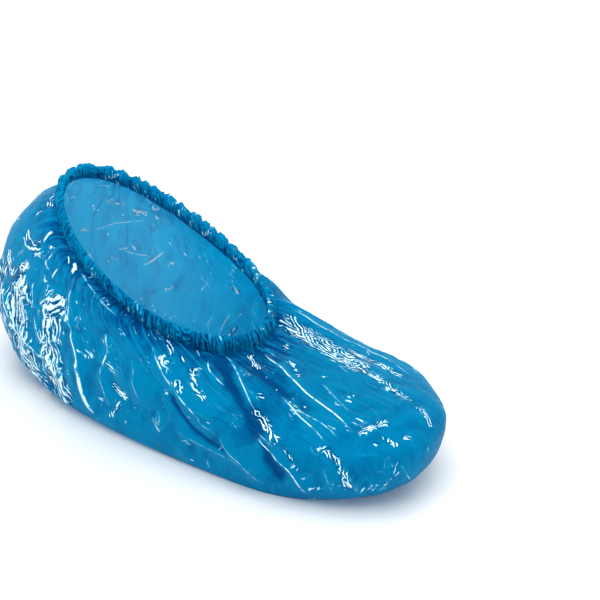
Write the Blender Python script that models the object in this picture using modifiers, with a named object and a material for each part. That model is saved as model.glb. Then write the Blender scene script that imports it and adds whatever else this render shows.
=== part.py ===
"""Shoe cover: a film overshoe standing open as if on a foot, with a gathered hem round the opening.

Three pieces. The film body is the upper and the sole in one. The gathered hem is the pleated strip
folded over the body's top edge. The elastic band lies loose in the fold of the hem.
+X points to the toe, +Y to the wearer's left and +Z up. Sizes are millimetres until they are placed.
"""

import math
from typing import NamedTuple

import bmesh
import bpy
from mathutils import Vector

MM = 0.001
COLUMNS = 96
WALL = 1.0
SCALLOP_COLUMNS = 3
ELASTIC_RADIUS = 0.8
ELASTIC_HEIGHT = 1.7
ELASTIC_POINTS = 64
FINE_STEPS = 1440


class Ring(NamedTuple):
    """One level line of the cover, an oval in plan with its own height at heel, waist and toe."""

    name: str
    x_heel: float
    x_toe: float
    x_mid: float
    half_width: float
    toe_fullness: float
    heel_fullness: float
    z_heel: float
    z_mid: float
    z_toe: float


RINGS = (
    Ring("rim", -104.0, 33.0, -34.0, 45.0, 2.1, 2.1, 132.0, 93.0, 69.0),
    Ring("neck", -109.0, 42.0, -34.0, 48.0, 2.1, 2.2, 125.0, 86.0, 62.0),
    Ring("shoulder", -136.0, 85.0, -1.0, 58.0, 2.2, 2.5, 102.0, 57.0, 59.0),
    Ring("belly", -151.0, 152.5, 44.0, 60.0, 2.3, 2.7, 62.0, 33.0, 38.0),
    Ring("corner", -140.0, 145.0, 34.0, 58.0, 2.3, 2.7, 12.0, 9.0, 14.0),
    Ring("edge", -126.0, 119.0, 49.0, 54.0, 2.3, 2.7, 0.0, 0.0, 0.0),
    Ring("sole", -63.0, 66.0, 27.0, 18.0, 2.2, 2.2, 0.0, 0.0, 0.0),
)


class Fold(NamedTuple):
    """A ridge (height above 0) or a valley (below 0) that runs down the film between two levels."""

    name: str
    top_angle: float
    low_angle: float
    top_level: float
    low_level: float
    half_width: float
    height: float


FOLDS = (
    Fold("near side back ridge", -98.0, -111.0, 1.0, 3.7, 6.0, 2.2),
    Fold("near side short ridge", -90.0, -103.0, 1.1, 3.0, 4.5, 1.6),
    Fold("long side ridge", -80.0, -76.0, 0.8, 4.1, 5.5, 2.6),
    Fold("side valley", -68.0, -82.0, 0.9, 3.4, 6.0, -2.0),
    Fold("short front ridge", -54.0, -55.0, 0.8, 1.9, 4.5, 1.8),
    Fold("vamp ridge", -33.0, -60.0, 0.9, 3.6, 5.5, 2.4),
    Fold("vamp valley", -44.0, -70.0, 0.9, 3.2, 7.0, -3.0),
    Fold("lower edge ridge", -66.0, -56.0, 2.4, 4.2, 6.0, 2.0),
    Fold("forefoot ridge", -28.0, -45.0, 1.2, 4.0, 5.5, 2.4),
    Fold("forefoot valley", -20.0, -38.0, 1.0, 3.5, 6.0, -1.8),
    Fold("instep ridge", -12.0, -31.0, 0.9, 3.1, 5.0, 2.0),
    Fold("toe dent", 10.0, 8.0, 1.6, 2.9, 9.0, -2.0),
    Fold("far instep ridge", 24.0, 18.0, 1.0, 2.9, 6.0, 1.8),
    Fold("far forefoot ridge", 48.0, 40.0, 1.1, 3.8, 6.0, 2.2),
    Fold("far vamp valley", 62.0, 60.0, 1.0, 3.3, 7.0, -2.2),
    Fold("far side ridge", 84.0, 78.0, 1.0, 4.0, 6.0, 2.2),
    Fold("far back ridge", 118.0, 124.0, 1.0, 3.8, 6.0, 2.0),
    Fold("heel top fold", -146.0, -140.0, 1.0, 2.2, 6.0, 2.0),
    Fold("heel patch ridge", -126.0, -122.0, 1.8, 4.0, 5.0, 2.2),
    Fold("heel patch valley", -136.0, -132.0, 1.9, 3.9, 5.0, -2.2),
    Fold("heel patch outer ridge", -148.0, -143.0, 2.0, 4.0, 5.0, 1.8),
    Fold("heel seam ridge", 180.0, 180.0, 1.0, 4.3, 4.0, 1.5),
    Fold("far heel ridge", 152.0, 148.0, 1.2, 3.8, 7.0, 1.8),
)

# Levels of the film's rows below the hem: a whole number is a ring, counted from the rim as 0.
FILM_LEVELS = (
    1.0, 1.2, 1.45, 1.7, 2.0, 2.3, 2.55, 2.75, 2.9, 3.1, 3.4, 3.7, 4.0, 4.35, 4.7, 5.0, 6.0,
)
# Folds and gathers end above this level, where the film turns under the foot.
SMOOTH_LEVEL = 4.3
# A fold swells over this many parts of its length at its top and at its low end.
FOLD_RISE = 4.0
FOLD_FALL = 3.0
# Heights of the film's tucked rows on the hem's middle line.
TUCK_HEIGHTS = (0.5, -2.5, -6.2)
# Section of the hem, from the outer skirt over the roll to the inner skirt: out, up.
HEM_SECTION = (
    (1.6, -4.5),
    (1.9, -1.2),
    (3.4, 1.4),
    (2.5, 4.3),
    (-2.5, 4.3),
    (-3.4, 1.4),
    (-1.9, -1.2),
    (-1.6, -4.5),
)
HEM_TOP = 4.3
HEM_LEAN_ENDS = 0.42
HEM_LEAN_SIDES = 0.14
# A pleat is pinched in at one column and full at the others, with a ripple that makes each differ.
PLEAT_OUT = 0.75
PLEAT_IN = 0.95
PLEAT_DROP = 0.6
RIPPLE = 0.3
RIPPLE_STEP = 1.7
DROP_RIPPLE = 0.25
DROP_RIPPLE_STEP = 2.3
# Below the hem the pleats keep this share of their depth and die out over this many levels.
PLEAT_SHARE = 0.4
PLEAT_FADE = 0.15
# Gathers: height, where they start and over how many levels they rise and fade, columns to a gather.
GATHER_HEIGHT = 1.5
GATHER_START = 0.95
GATHER_RISE = 0.25
GATHER_FADE = 0.55
GATHER_COLUMNS = 4.0
GATHER_PHASE = 0.8
# Small steps that measure a direction on a ring and on the film.
SMALL_TURN = 0.01
SMALL_LEVEL = 0.02


def ring_point(ring, angle):
    """The point of a ring at an angle, where 0 is the toe and 90 degrees the wearer's left."""
    along, across = math.cos(angle), math.sin(angle)
    power = 2.0 / (ring.toe_fullness if along > 0.0 else ring.heel_fullness)
    reach = math.copysign(abs(along) ** power, along)
    half = ring.x_toe - ring.x_mid if along > 0.0 else ring.x_mid - ring.x_heel
    x = ring.x_mid + half * reach
    y = ring.half_width * math.copysign(abs(across) ** power, across)
    t = (x - ring.x_heel) / (ring.x_toe - ring.x_heel)
    z = ring.z_heel * 2.0 * (t - 0.5) * (t - 1.0)
    z += ring.z_mid * 4.0 * t * (1.0 - t)
    z += ring.z_toe * 2.0 * t * (t - 0.5)
    return Vector((x, y, z))


def even_angles(count):
    """Angles that step the rim in equal lengths, starting at the toe."""
    rim = RINGS[0]
    points = [ring_point(rim, 2.0 * math.pi * i / FINE_STEPS) for i in range(FINE_STEPS + 1)]
    lengths = [0.0]
    for a, b in zip(points, points[1:]):
        lengths.append(lengths[-1] + (b - a).length)
    angles = []
    step = 0
    for column in range(count):
        wanted = lengths[-1] * column / count
        while lengths[step + 1] < wanted:
            step += 1
        part = (wanted - lengths[step]) / (lengths[step + 1] - lengths[step])
        angles.append(2.0 * math.pi * (step + part) / FINE_STEPS)
    return angles


def film_point(angle, level):
    """The smooth film at an angle and a level, on a cubic through the rings."""
    points = [ring_point(ring, angle) for ring in RINGS]
    points.insert(0, points[0] * 2.0 - points[1])
    points.append(points[-1] * 2.0 - points[-2])
    index = min(int(level), len(RINGS) - 2)
    t = level - index
    before, start, end, after = points[index:index + 4]
    first, middle, last = (start - before).length, (end - start).length, (after - end).length
    leave = (start - before) * (middle / first) + (end - start) * (first / middle)
    leave *= middle / (first + middle)
    arrive = (end - start) * (last / middle) + (after - end) * (middle / last)
    arrive *= middle / (middle + last)
    point = start * (2.0 * t ** 3 - 3.0 * t ** 2 + 1.0) + leave * (t ** 3 - 2.0 * t ** 2 + t)
    return point + end * (3.0 * t ** 2 - 2.0 * t ** 3) + arrive * (t ** 3 - t ** 2)


def film_normal(angle, level):
    """The way out of the smooth film."""
    low = min(level, len(RINGS) - 1.0 - SMALL_LEVEL)
    across = film_point(angle + SMALL_TURN, low) - film_point(angle - SMALL_TURN, low)
    down = film_point(angle, low + SMALL_LEVEL) - film_point(angle, low)
    return down.cross(across).normalized()


def rim_frame(angle):
    """Place, way out and way up of the hem's middle line at an angle."""
    place = ring_point(RINGS[0], angle)
    along = ring_point(RINGS[0], angle + SMALL_TURN) - ring_point(RINGS[0], angle - SMALL_TURN)
    out = along.cross(Vector((0.0, 0.0, 1.0))).normalized()
    ends = math.cos(angle) ** 2
    lean = HEM_LEAN_SIDES + (HEM_LEAN_ENDS - HEM_LEAN_SIDES) * ends
    up = (Vector((0.0, 0.0, 1.0)) - out * lean).normalized()
    return place, out, up


def turned(angle, centre):
    """Degrees from a centre angle to an angle, between -180 and 180."""
    return (math.degrees(angle) - centre + 180.0) % 360.0 - 180.0


def eased(value):
    """A soft step from 0 to 1."""
    t = min(max(value, 0.0), 1.0)
    return t * t * (3.0 - 2.0 * t)


def fold_height(angle, level):
    """How far the ridges and valleys push the film out at a place."""
    total = 0.0
    for fold in FOLDS:
        span = fold.low_level - fold.top_level
        part = (level - fold.top_level) / span
        if part < 0.0 or part > 1.0:
            continue
        centre = fold.top_angle + (fold.low_angle - fold.top_angle) * part
        bell = math.exp(-((turned(angle, centre) / fold.half_width) ** 2))
        total += fold.height * bell * eased(part * FOLD_RISE) * eased((1.0 - part) * FOLD_FALL)
    return total


def pleat_shift(column):
    """How far out the gathered edge stands at a column: pinched at every third one, full between."""
    ripple = RIPPLE * math.sin(RIPPLE_STEP * column)
    if column % SCALLOP_COLUMNS == 0:
        return ripple - PLEAT_IN
    return ripple + PLEAT_OUT


def gather_height(column, level):
    """The gathers that run down from the hem and fade into the smooth film."""
    fade = eased((level - GATHER_START) / GATHER_RISE) * math.exp(-(level - 1.0) / GATHER_FADE)
    return GATHER_HEIGHT * fade * math.sin(2.0 * math.pi * column / GATHER_COLUMNS + GATHER_PHASE)


def grid_object(name, rows, closing_point):
    """An open surface from rows of points that go round, closed with a fan if a point is given."""
    mesh = bmesh.new()
    levels = [[mesh.verts.new(point * MM) for point in row] for row in rows]
    for upper, lower in zip(levels, levels[1:]):
        count = len(upper)
        for i in range(count):
            j = (i + 1) % count
            mesh.faces.new((upper[i], lower[i], lower[j], upper[j]))
    if closing_point is not None:
        centre = mesh.verts.new(closing_point * MM)
        last = levels[-1]
        for i in range(len(last)):
            mesh.faces.new((last[i], centre, last[(i + 1) % len(last)]))
    data = bpy.data.meshes.new(name)
    mesh.to_mesh(data)
    mesh.free()
    return bpy.data.objects.new(name, data)


def film_body(angles):
    """The film, tucked up into the hem, gathered below it, folded down the sides, flat under foot."""
    rows = []
    for height in TUCK_HEIGHTS:
        row = []
        for column, angle in enumerate(angles):
            place, out, up = rim_frame(angle)
            row.append(place + up * height + out * (pleat_shift(column) + 0.5 * WALL))
        rows.append(row)
    for level in FILM_LEVELS:
        row = []
        for column, angle in enumerate(angles):
            point = film_point(angle, level)
            if level < SMOOTH_LEVEL:
                push = fold_height(angle, level) + gather_height(column, level)
                push += PLEAT_SHARE * pleat_shift(column) * math.exp(-(level - 1.0) / PLEAT_FADE)
                point += film_normal(angle, level) * push
            point.z = max(point.z, 0.0)
            row.append(point)
        rows.append(row)
    centre = sum(rows[-1], Vector((0.0, 0.0, 0.0))) / len(angles)
    body = grid_object("film_body", rows, centre)
    thicken(body, -1.0)
    return body


def gathered_hem(angles):
    """The hem: a strip folded over the film's edge, pinched into scallops all round."""
    rows = []
    for out_size, up_size in HEM_SECTION:
        row = []
        for column, angle in enumerate(angles):
            place, out, up = rim_frame(angle)
            pinched = 1.0 if column % SCALLOP_COLUMNS == 0 else 0.0
            drop = PLEAT_DROP * pinched - DROP_RIPPLE * math.sin(DROP_RIPPLE_STEP * column)
            drop *= max(up_size, 0.0) / HEM_TOP
            row.append(place + out * (out_size + pleat_shift(column)) + up * (up_size - drop))
        rows.append(row)
    rows.reverse()
    hem = grid_object("gathered_hem", rows, None)
    thicken(hem, 0.0)
    return hem


def elastic_band():
    """The elastic: a round cord lying in the roll of the hem."""
    curve = bpy.data.curves.new("elastic_band", "CURVE")
    curve.dimensions = "3D"
    curve.bevel_depth = ELASTIC_RADIUS * MM
    curve.bevel_resolution = 2
    spline = curve.splines.new("POLY")
    spline.points.add(ELASTIC_POINTS - 1)
    for point, angle in zip(spline.points, even_angles(ELASTIC_POINTS)):
        place, out, up = rim_frame(angle)
        x, y, z = (place + up * ELASTIC_HEIGHT) * MM
        point.co = (x, y, z, 1.0)
    spline.use_cyclic_u = True
    return bpy.data.objects.new("elastic_band", curve)


def thicken(piece, offset):
    """Give a surface its wall."""
    wall = piece.modifiers.new("wall", "SOLIDIFY")
    wall.thickness = WALL * MM
    wall.offset = offset
    wall.use_even_offset = True


def finish(piece, name, colour, roughness):
    """Give a piece its own material."""
    material = bpy.data.materials.new(name)
    material.use_nodes = True
    shader = material.node_tree.nodes["Principled BSDF"]
    shader.inputs["Base Color"].default_value = (*colour, 1.0)
    shader.inputs["Roughness"].default_value = roughness
    piece.data.materials.append(material)
    if piece.type == "MESH":
        piece.data.shade_smooth()


for old in list(bpy.data.objects):
    bpy.data.objects.remove(old, do_unlink=True)

collection = bpy.data.collections.new("shoe_cover")
bpy.context.scene.collection.children.link(collection)

column_angles = even_angles(COLUMNS)
body = film_body(column_angles)
hem = gathered_hem(column_angles)
elastic = elastic_band()
finish(body, "blue_film", (0.0, 0.27, 0.54), 0.2)
finish(hem, "hem_film", (0.0, 0.13, 0.36), 0.3)
finish(elastic, "elastic_thread", (0.01, 0.16, 0.4), 0.6)
for piece in (body, hem, elastic):
    collection.objects.link(piece)
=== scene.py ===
"""Looks of a blue film shoe cover that stands open as if on a foot.

The film body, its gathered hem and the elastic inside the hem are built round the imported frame, dressed
as thin glossy film and lit as on a white studio table. Sizes are millimetres until a mesh is made.
"""

import logging
import math
from dataclasses import dataclass, field
from enum import Enum

import bpy
import numpy as np
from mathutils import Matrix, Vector


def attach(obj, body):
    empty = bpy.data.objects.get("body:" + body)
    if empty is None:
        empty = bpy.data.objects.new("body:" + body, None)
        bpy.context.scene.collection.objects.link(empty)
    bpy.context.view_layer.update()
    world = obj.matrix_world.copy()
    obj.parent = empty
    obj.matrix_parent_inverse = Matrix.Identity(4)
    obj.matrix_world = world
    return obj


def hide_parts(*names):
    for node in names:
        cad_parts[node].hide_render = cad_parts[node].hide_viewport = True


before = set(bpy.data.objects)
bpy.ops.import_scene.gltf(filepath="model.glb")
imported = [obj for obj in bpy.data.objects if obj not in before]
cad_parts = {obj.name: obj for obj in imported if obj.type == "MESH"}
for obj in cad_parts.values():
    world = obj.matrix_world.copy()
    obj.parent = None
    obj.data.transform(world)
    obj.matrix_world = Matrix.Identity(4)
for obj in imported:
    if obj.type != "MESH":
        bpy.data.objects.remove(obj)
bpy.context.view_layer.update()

MM = 0.001
FULL_TURN = 2.0 * math.pi
LOG = logging.getLogger("shoe_cover")
# Where a Mix node keeps its two colours, and the colour that it makes of them.
MIX_COLOURS = (6, 7)
MIX_RESULT = 2


class Crest(Enum):
    """Which way a crease stands out of the film."""

    RIDGE = 1.0
    VALLEY = -1.0


class HemLine(Enum):
    """The two lines on the film that the hem's outer side runs out along."""

    FOOT = 0
    ANKLE = 1


class Signal:
    """A node's output that Python's arithmetic can work with."""

    def __init__(self, bench: "Bench", socket: bpy.types.NodeSocket) -> None:
        """Wrap a socket.

        Args:
            bench: The bench whose tree holds the socket.
            socket: The output to wrap.
        """
        self.bench = bench
        self.socket = socket

    def _maths(self, operation: str, *values: "Signal | float") -> "Signal":
        """Add a Math node on these values and return its result."""
        return self.bench.add("ShaderNodeMath", {"operation": operation}, dict(enumerate(values)))

    def __add__(self, other: "Signal | float") -> "Signal":
        """Return self + other."""
        return self._maths("ADD", self, other)

    __radd__ = __add__

    def __sub__(self, other: "Signal | float") -> "Signal":
        """Return self - other."""
        return self._maths("SUBTRACT", self, other)

    def __rsub__(self, other: "Signal | float") -> "Signal":
        """Return other - self."""
        return self._maths("SUBTRACT", other, self)

    def __mul__(self, other: "Signal | float") -> "Signal":
        """Return self * other."""
        return self._maths("MULTIPLY", self, other)

    __rmul__ = __mul__

    def __truediv__(self, other: "Signal | float") -> "Signal":
        """Return self / other."""
        return self._maths("DIVIDE", self, other)

    def __mod__(self, other: "Signal | float") -> "Signal":
        """Return what is left of self after whole steps of other."""
        return self._maths("MODULO", self, other)

    def __pow__(self, other: "Signal | float") -> "Signal":
        """Return self to the power of other."""
        return self._maths("POWER", self, other)

    def __abs__(self) -> "Signal":
        """Return the size of the signal without its sign."""
        return self._maths("ABSOLUTE", self)

    def __gt__(self, other: "Signal | float") -> "Signal":
        """Return 1 where self is above other, and 0 elsewhere."""
        return self._maths("GREATER_THAN", self, other)

    def sine(self) -> "Signal":
        """Return the sine of the signal, in radians."""
        return self._maths("SINE", self)

    def cosine(self) -> "Signal":
        """Return the cosine of the signal, in radians."""
        return self._maths("COSINE", self)

    def whole(self) -> "Signal":
        """Return the signal rounded down."""
        return self._maths("FLOOR", self)

    def sign(self) -> "Signal":
        """Return -1, 0 or 1."""
        return self._maths("SIGN", self)

    def least(self, other: "Signal | float") -> "Signal":
        """Return the smaller of the two."""
        return self._maths("MINIMUM", self, other)

    def most(self, other: "Signal | float") -> "Signal":
        """Return the larger of the two."""
        return self._maths("MAXIMUM", self, other)

    def held(self, low: float = 0.0, high: float = 1.0) -> "Signal":
        """Return the signal held between two values."""
        return self.most(low).least(high)

    def twin(self, output: str | int) -> "Signal":
        """Return another output of the same node."""
        return Signal(self.bench, self.socket.node.outputs[output])

    def ramp(self, low: float, high: float) -> "Signal":
        """Work out a soft step.

        Args:
            low: The value where the step leaves 0.
            high: The value where it reaches 1.

        Returns:
            The step, from 0 to 1.
        """
        settings = {"interpolation_type": "SMOOTHSTEP"}
        inputs = {"Value": self, "From Min": low, "From Max": high}
        return self.bench.add("ShaderNodeMapRange", settings, inputs)


class Bench:
    """Adds nodes to a tree and joins them."""

    def __init__(self, tree: bpy.types.NodeTree) -> None:
        """Work on a tree.

        Args:
            tree: A shader or geometry node tree.
        """
        self.tree = tree

    def add(
        self,
        kind: str,
        settings: dict[str, object] | None = None,
        inputs: dict[str | int, object] | None = None,
        output: str | int = 0,
    ) -> Signal:
        """Add a node and return one of its outputs.

        Args:
            kind: The node's type.
            settings: The node's own settings, set before its sockets.
            inputs: Values or signals for its sockets, by name or index.
            output: The output wanted, by name or index.

        Returns:
            The output as a signal, or the first input of a node that has no output.
        """
        node = self.tree.nodes.new(kind)
        for name, value in (settings or {}).items():
            setattr(node, name, value)
        for key, value in (inputs or {}).items():
            self.feed(node.inputs[key], value)
        return Signal(self, node.outputs[output] if node.outputs else node.inputs[0])

    def feed(self, socket: bpy.types.NodeSocket, value: object) -> None:
        """Set or link an input.

        Args:
            socket: The input.
            value: A signal to link, or a value to set.
        """
        if isinstance(value, Signal):
            self.tree.links.new(value.socket, socket)
        else:
            socket.default_value = value

    def vector(self, x: object = 0.0, y: object = 0.0, z: object = 0.0) -> Signal:
        """Return a vector of three numbers or signals."""
        return self.add("ShaderNodeCombineXYZ", {}, {0: x, 1: y, 2: z})

    def part(self, source: Signal, axis: str) -> Signal:
        """Return the X, Y or Z part of a vector."""
        return self.add("ShaderNodeSeparateXYZ", {}, {0: source}, axis)

    def vectors(self, operation: str, *values: object) -> Signal:
        """Return the vector that a Vector Math node makes of these values."""
        return self.add("ShaderNodeVectorMath", {"operation": operation}, dict(enumerate(values)))

    def scaled(self, source: Signal, factor: object) -> Signal:
        """Return a vector times a number."""
        return self.add("ShaderNodeVectorMath", {"operation": "SCALE"}, {0: source, "Scale": factor})

    def summed(self, first: Signal, *others: Signal) -> Signal:
        """Add vectors up.

        Args:
            first: The vector to start from.
            others: The vectors to add to it.

        Returns:
            The sum.
        """
        total = first
        for other in others:
            total = self.vectors("ADD", total, other)
        return total

    def mixed(self, factor: object, first: object, second: object) -> Signal:
        """Return a colour that goes from the first to the second as the factor goes from 0 to 1."""
        inputs = {0: factor, MIX_COLOURS[0]: first, MIX_COLOURS[1]: second}
        return self.add("ShaderNodeMix", {"data_type": "RGBA"}, inputs, MIX_RESULT)

    def stored(self, name: str, output: str = "Fac") -> Signal:
        """Return what is stored under a name at the piece's points: a number, or with Vector a place."""
        return self.add("ShaderNodeAttribute", {"attribute_name": name}, {}, output)


def placed(name: str, data: bpy.types.ID) -> bpy.types.Object:
    """Make an object and put it in the scene.

    Args:
        name: The object's name.
        data: Its mesh, curve, light or camera.

    Returns:
        The object.
    """
    thing = bpy.data.objects.new(name, data)
    bpy.context.scene.collection.objects.link(thing)
    return thing


def started(name: str) -> tuple[bpy.types.Material, Bench, bpy.types.Node]:
    """Start a material.

    Args:
        name: The material's name.

    Returns:
        The material, a bench on its tree, and its Principled node.
    """
    material = bpy.data.materials.new(name)
    material.use_nodes = True
    return material, Bench(material.node_tree), material.node_tree.nodes["Principled BSDF"]


# How patterns are drawn out: crushed folds along themselves, hairs and brush strokes down the film.
ALONG_FOLDS = (1.0, 0.5, 1.0)
DOWN_HAIRS = (1.0, 1.0, 0.3)
DOWN_STROKES = (1.0, 1.0, 0.16)
# Keeps the dents off the wisps, which are drawn by the same noise.
DENT_SHIFT = (0.3, 0.2, 0.1)
GREY = (0.5, 0.5, 0.5)


@dataclass(frozen=True)
class Noise:
    """Noise of one scale, given in repeats a metre."""

    scale: float
    detail: float = 2.0
    rough: float = 0.5

    def at(self, bench: Bench, place: Signal, output: str = "Fac") -> Signal:
        """Return the noise at a place: a number of about 0.2 to 0.8, or with Color three of them."""
        inputs = {"Vector": place, "Scale": self.scale, "Detail": self.detail, "Roughness": self.rough}
        return bench.add("ShaderNodeTexNoise", {}, inputs, output)


@dataclass(frozen=True)
class Strands:
    """Folds that lie side by side in small facets, each facet turned its own way.

    The period from fold to fold, the facet and the height are millimetres. The swerve is how many folds
    the pattern wanders by. Gleam and shade are the heights that the painted highlight on the light sides and
    the painted shade on the dark sides ramp between.
    """

    period: float
    swerve: float
    facet: float
    height: float
    gleam: tuple[float, float]
    shade: tuple[float, float]
    darkness: float
    unevenness: float = 0.0
    turn: float = 1.3
    flow: float = 1.2

    def wave(self, bench: Bench, chart: Signal) -> Signal:
        """Work out the folds.

        Args:
            bench: The bench to add nodes with.
            chart: Places on the crushed film, whose second axis runs along the folds.

        Returns:
            Heights from -1 in the gaps between folds to 1 on their crests.
        """
        long = bench.vectors("MULTIPLY", chart, ALONG_FOLDS)
        inputs = {"Vector": long, "Scale": 1.0 / (self.facet * MM)}
        cells = bench.add("ShaderNodeTexVoronoi", {}, inputs, "Color")
        turn = (bench.part(cells, "X") - 0.5) * self.turn
        reach = bench.part(chart, "X") * turn.cosine() + bench.part(chart, "Y") * turn.sine()
        flow = Noise(self.flow / (self.facet * MM)).at(bench, long)
        phase = reach / (self.period * MM) + flow * self.swerve + bench.part(cells, "Y")
        return (phase * FULL_TURN).sine()


@dataclass(frozen=True)
class Hairs:
    """Thin winding lines in the film: how close, how thin, how high in millimetres, and their painted
    highlight.
    """

    scale: float
    thinness: float
    height: float
    gleam: float = 0.0

    def at(self, bench: Bench, place: Signal) -> Signal:
        """Return the lines, 1 on their middle and 0 off it."""
        return (abs(Noise(self.scale, 1.0).at(bench, place) - 0.5) * -self.thinness + 1.0).held()


@dataclass(frozen=True)
class Flank:
    """How something falls off to both sides of a crest line, whose own width is 1."""

    fall: float
    start: float
    strength: float = 1.0

    def at(self, offset: Signal, line: Signal) -> Signal:
        """Return its strength at a distance from a line that is itself strong or weak."""
        return (offset * -self.fall + self.start).held() * line * self.strength


@dataclass(frozen=True)
class Relief:
    """What wrinkles do to the film: heights in millimetres, how much painted highlight, how much painted
    shade.
    """

    height: Signal
    gleam: Signal
    shade: Signal


@dataclass(frozen=True)
class FilmFinish:
    """Thin glossy film: its colours, with painted highlights, sheen and shade, its gloss and fine crumple.
    """

    name: str
    light: tuple[float, float, float]
    deep: tuple[float, float, float]
    roughness: float = 0.30
    rough_limits: tuple[float, float] = (0.08, 0.6)
    alpha: float = 0.985
    gloss: float = 0.8
    index: float = 1.35
    sheen: tuple[float, float, float] = (0.06, 0.72, 1.0)
    # The near-white colour of the painted highlights and sheen, how strongly highlights are painted, and how
    # strongly the sheen is.
    painted_light_colour: tuple[float, float, float] = (0.80, 0.97, 1.0)
    gleam: float = 0.96
    painted_sheen: float = 0.09
    see_through: float = 0.48
    gleam_blocks: float = 0.85
    bare: float = 0.60
    fleck_edge: float = 0.06
    cloud: Noise = Noise(30.0, 4.0)
    mottle: Noise = Noise(160.0, 3.0, 0.6)
    strokes: Noise = Noise(380.0)
    swirl: Noise = Noise(60.0)
    swirl_reach: float = 0.010
    folds: Strands = Strands(4.1, 2.2, 9.0, 0.28, (-0.2, 0.4), (0.1, 0.9), 0.65, 0.5)
    threads: Strands = Strands(2.1, 2.0, 5.0, 0.16, (0.0, 0.6), (0.2, 0.9), 0.5)
    facets: float = 210.0
    facet_height: float = 0.3
    facet_gleam: float = 0.9
    crushed: tuple[float, float] = (0.3, 0.8)
    scraps: Noise = Noise(150.0)
    scrap_share: float = 0.8
    patches: Noise = Noise(85.0)
    dashes: Noise = Noise(420.0, 1.0)
    dash_edge: tuple[float, float] = (0.58, 0.66)
    fleck_gleam: float = 0.8
    breaks: Noise = Noise(230.0)
    break_edge: tuple[float, float] = (0.36, 0.58)
    unbroken: float = 0.15
    # Crest lines: a bump, a painted highlight along them and a band of painted shade beside them.
    crest_height: Flank = Flank(0.7, 1.0, 0.4)
    crest_gleam: Flank = Flank(1.4, 1.5)
    crest_shade: Flank = Flank(0.3, 1.4, 0.4)
    fine_wrinkles: Noise = Noise(150.0, 3.0, 0.6)
    fine_wrinkle_height: float = 0.35
    clearings: Noise = Noise(40.0)
    clearing_edge: tuple[float, float] = (0.42, 0.6)
    hair_spots: Noise = Noise(46.0)
    hair_edge: tuple[float, float] = (0.57, 0.61)
    wisps: Hairs = Hairs(55.0, 45.0, 0.12, 0.05)
    hairs: Hairs = Hairs(48.0, 90.0, 0.25, 0.45)
    dents: Hairs = Hairs(62.0, 62.0, -0.2)

    def material(self) -> bpy.types.Material:
        """Make the film's material.

        Returns:
            A material that reads Object coordinates and what the film and the hem store at their points.
        """
        material, bench, shader = started(self.name)
        place = bench.add("ShaderNodeTexCoord", {}, {}, "Object")
        grain = bench.stored("grain", "Vector")
        mottle = self.mottle.at(bench, place) - 0.5
        folded, crush = self._crushed(bench, place)
        relief = self._lined(bench, place, grain, folded)
        colour = self._colour(bench, place, grain, mottle, relief)
        rough = (self.roughness + mottle * 0.16 - crush * 0.18).held(*self.rough_limits)
        inputs = {"Height": relief.height, "Strength": 1.0, "Distance": MM}
        bump = bench.add("ShaderNodeBump", {}, inputs, "Normal")
        for socket, value in (
            ("Base Color", colour),
            ("Roughness", rough),
            ("Normal", bump),
            ("Alpha", self.alpha),
            ("IOR", self.index),
            ("Specular IOR Level", self.gloss),
            ("Specular Tint", (*self.sheen, 1.0)),
        ):
            bench.feed(shader.inputs[socket], value)
        through = bench.add("ShaderNodeBsdfTranslucent", {}, {"Color": colour, "Normal": bump})
        passing = (relief.gleam * -self.gleam_blocks + 1.0) * self.see_through
        facing = Signal(bench, shader.outputs[0])
        both = bench.add("ShaderNodeMixShader", {}, {0: passing, 1: facing, 2: through})
        bench.feed(material.node_tree.nodes["Material Output"].inputs["Surface"], both)
        return material

    def _colour(self, bench: Bench, place: Signal, grain: Signal, mottle: Signal, relief: Relief) -> Signal:
        """Work out the film's colour.

        Args:
            bench: The bench to add nodes with.
            place: Places on the film in metres.
            grain: Places on the film laid out flat, whose third axis runs down it.
            mottle: Fine noise about 0.
            relief: The film's wrinkles.

        Returns:
            Blue: deeper where the film is drawn up in layers, with painted shade there and in its folds;
                paler under a painted sheen; almost white under painted highlights.
        """
        cloud = self.cloud.at(bench, place) - 0.5
        strokes = self.strokes.at(bench, bench.vectors("MULTIPLY", grain, DOWN_STROKES)).ramp(0.46, 0.62)
        # Deeper blue under the hem: partly the film's drawn-up layers, partly painted shade, in dark
        # strokes.
        drawn = bench.stored("gathered") * (0.32 + strokes * 0.6 + mottle)
        # Painted shade: darker in the hollows of folds and creases and lighter on their crests, plus the
        # relief's painted shade.
        deepness = drawn + cloud * 0.6 + mottle * 0.5 - bench.stored("fold") * 1.3 + relief.shade * 0.8
        blue = bench.mixed((deepness + 0.10).held(), (*self.light, 1.0), (*self.deep, 1.0))
        # Painted sheen: the left and back walls are mixed towards near white.
        blue = bench.mixed(bench.stored("pale") * self.painted_sheen, blue, (*self.painted_light_colour, 1.0))
        # Painted highlights: crushed film, crest lines, hairs and flecks go towards near white.
        return bench.mixed(relief.gleam * self.gleam, blue, (*self.painted_light_colour, 1.0))

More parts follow.
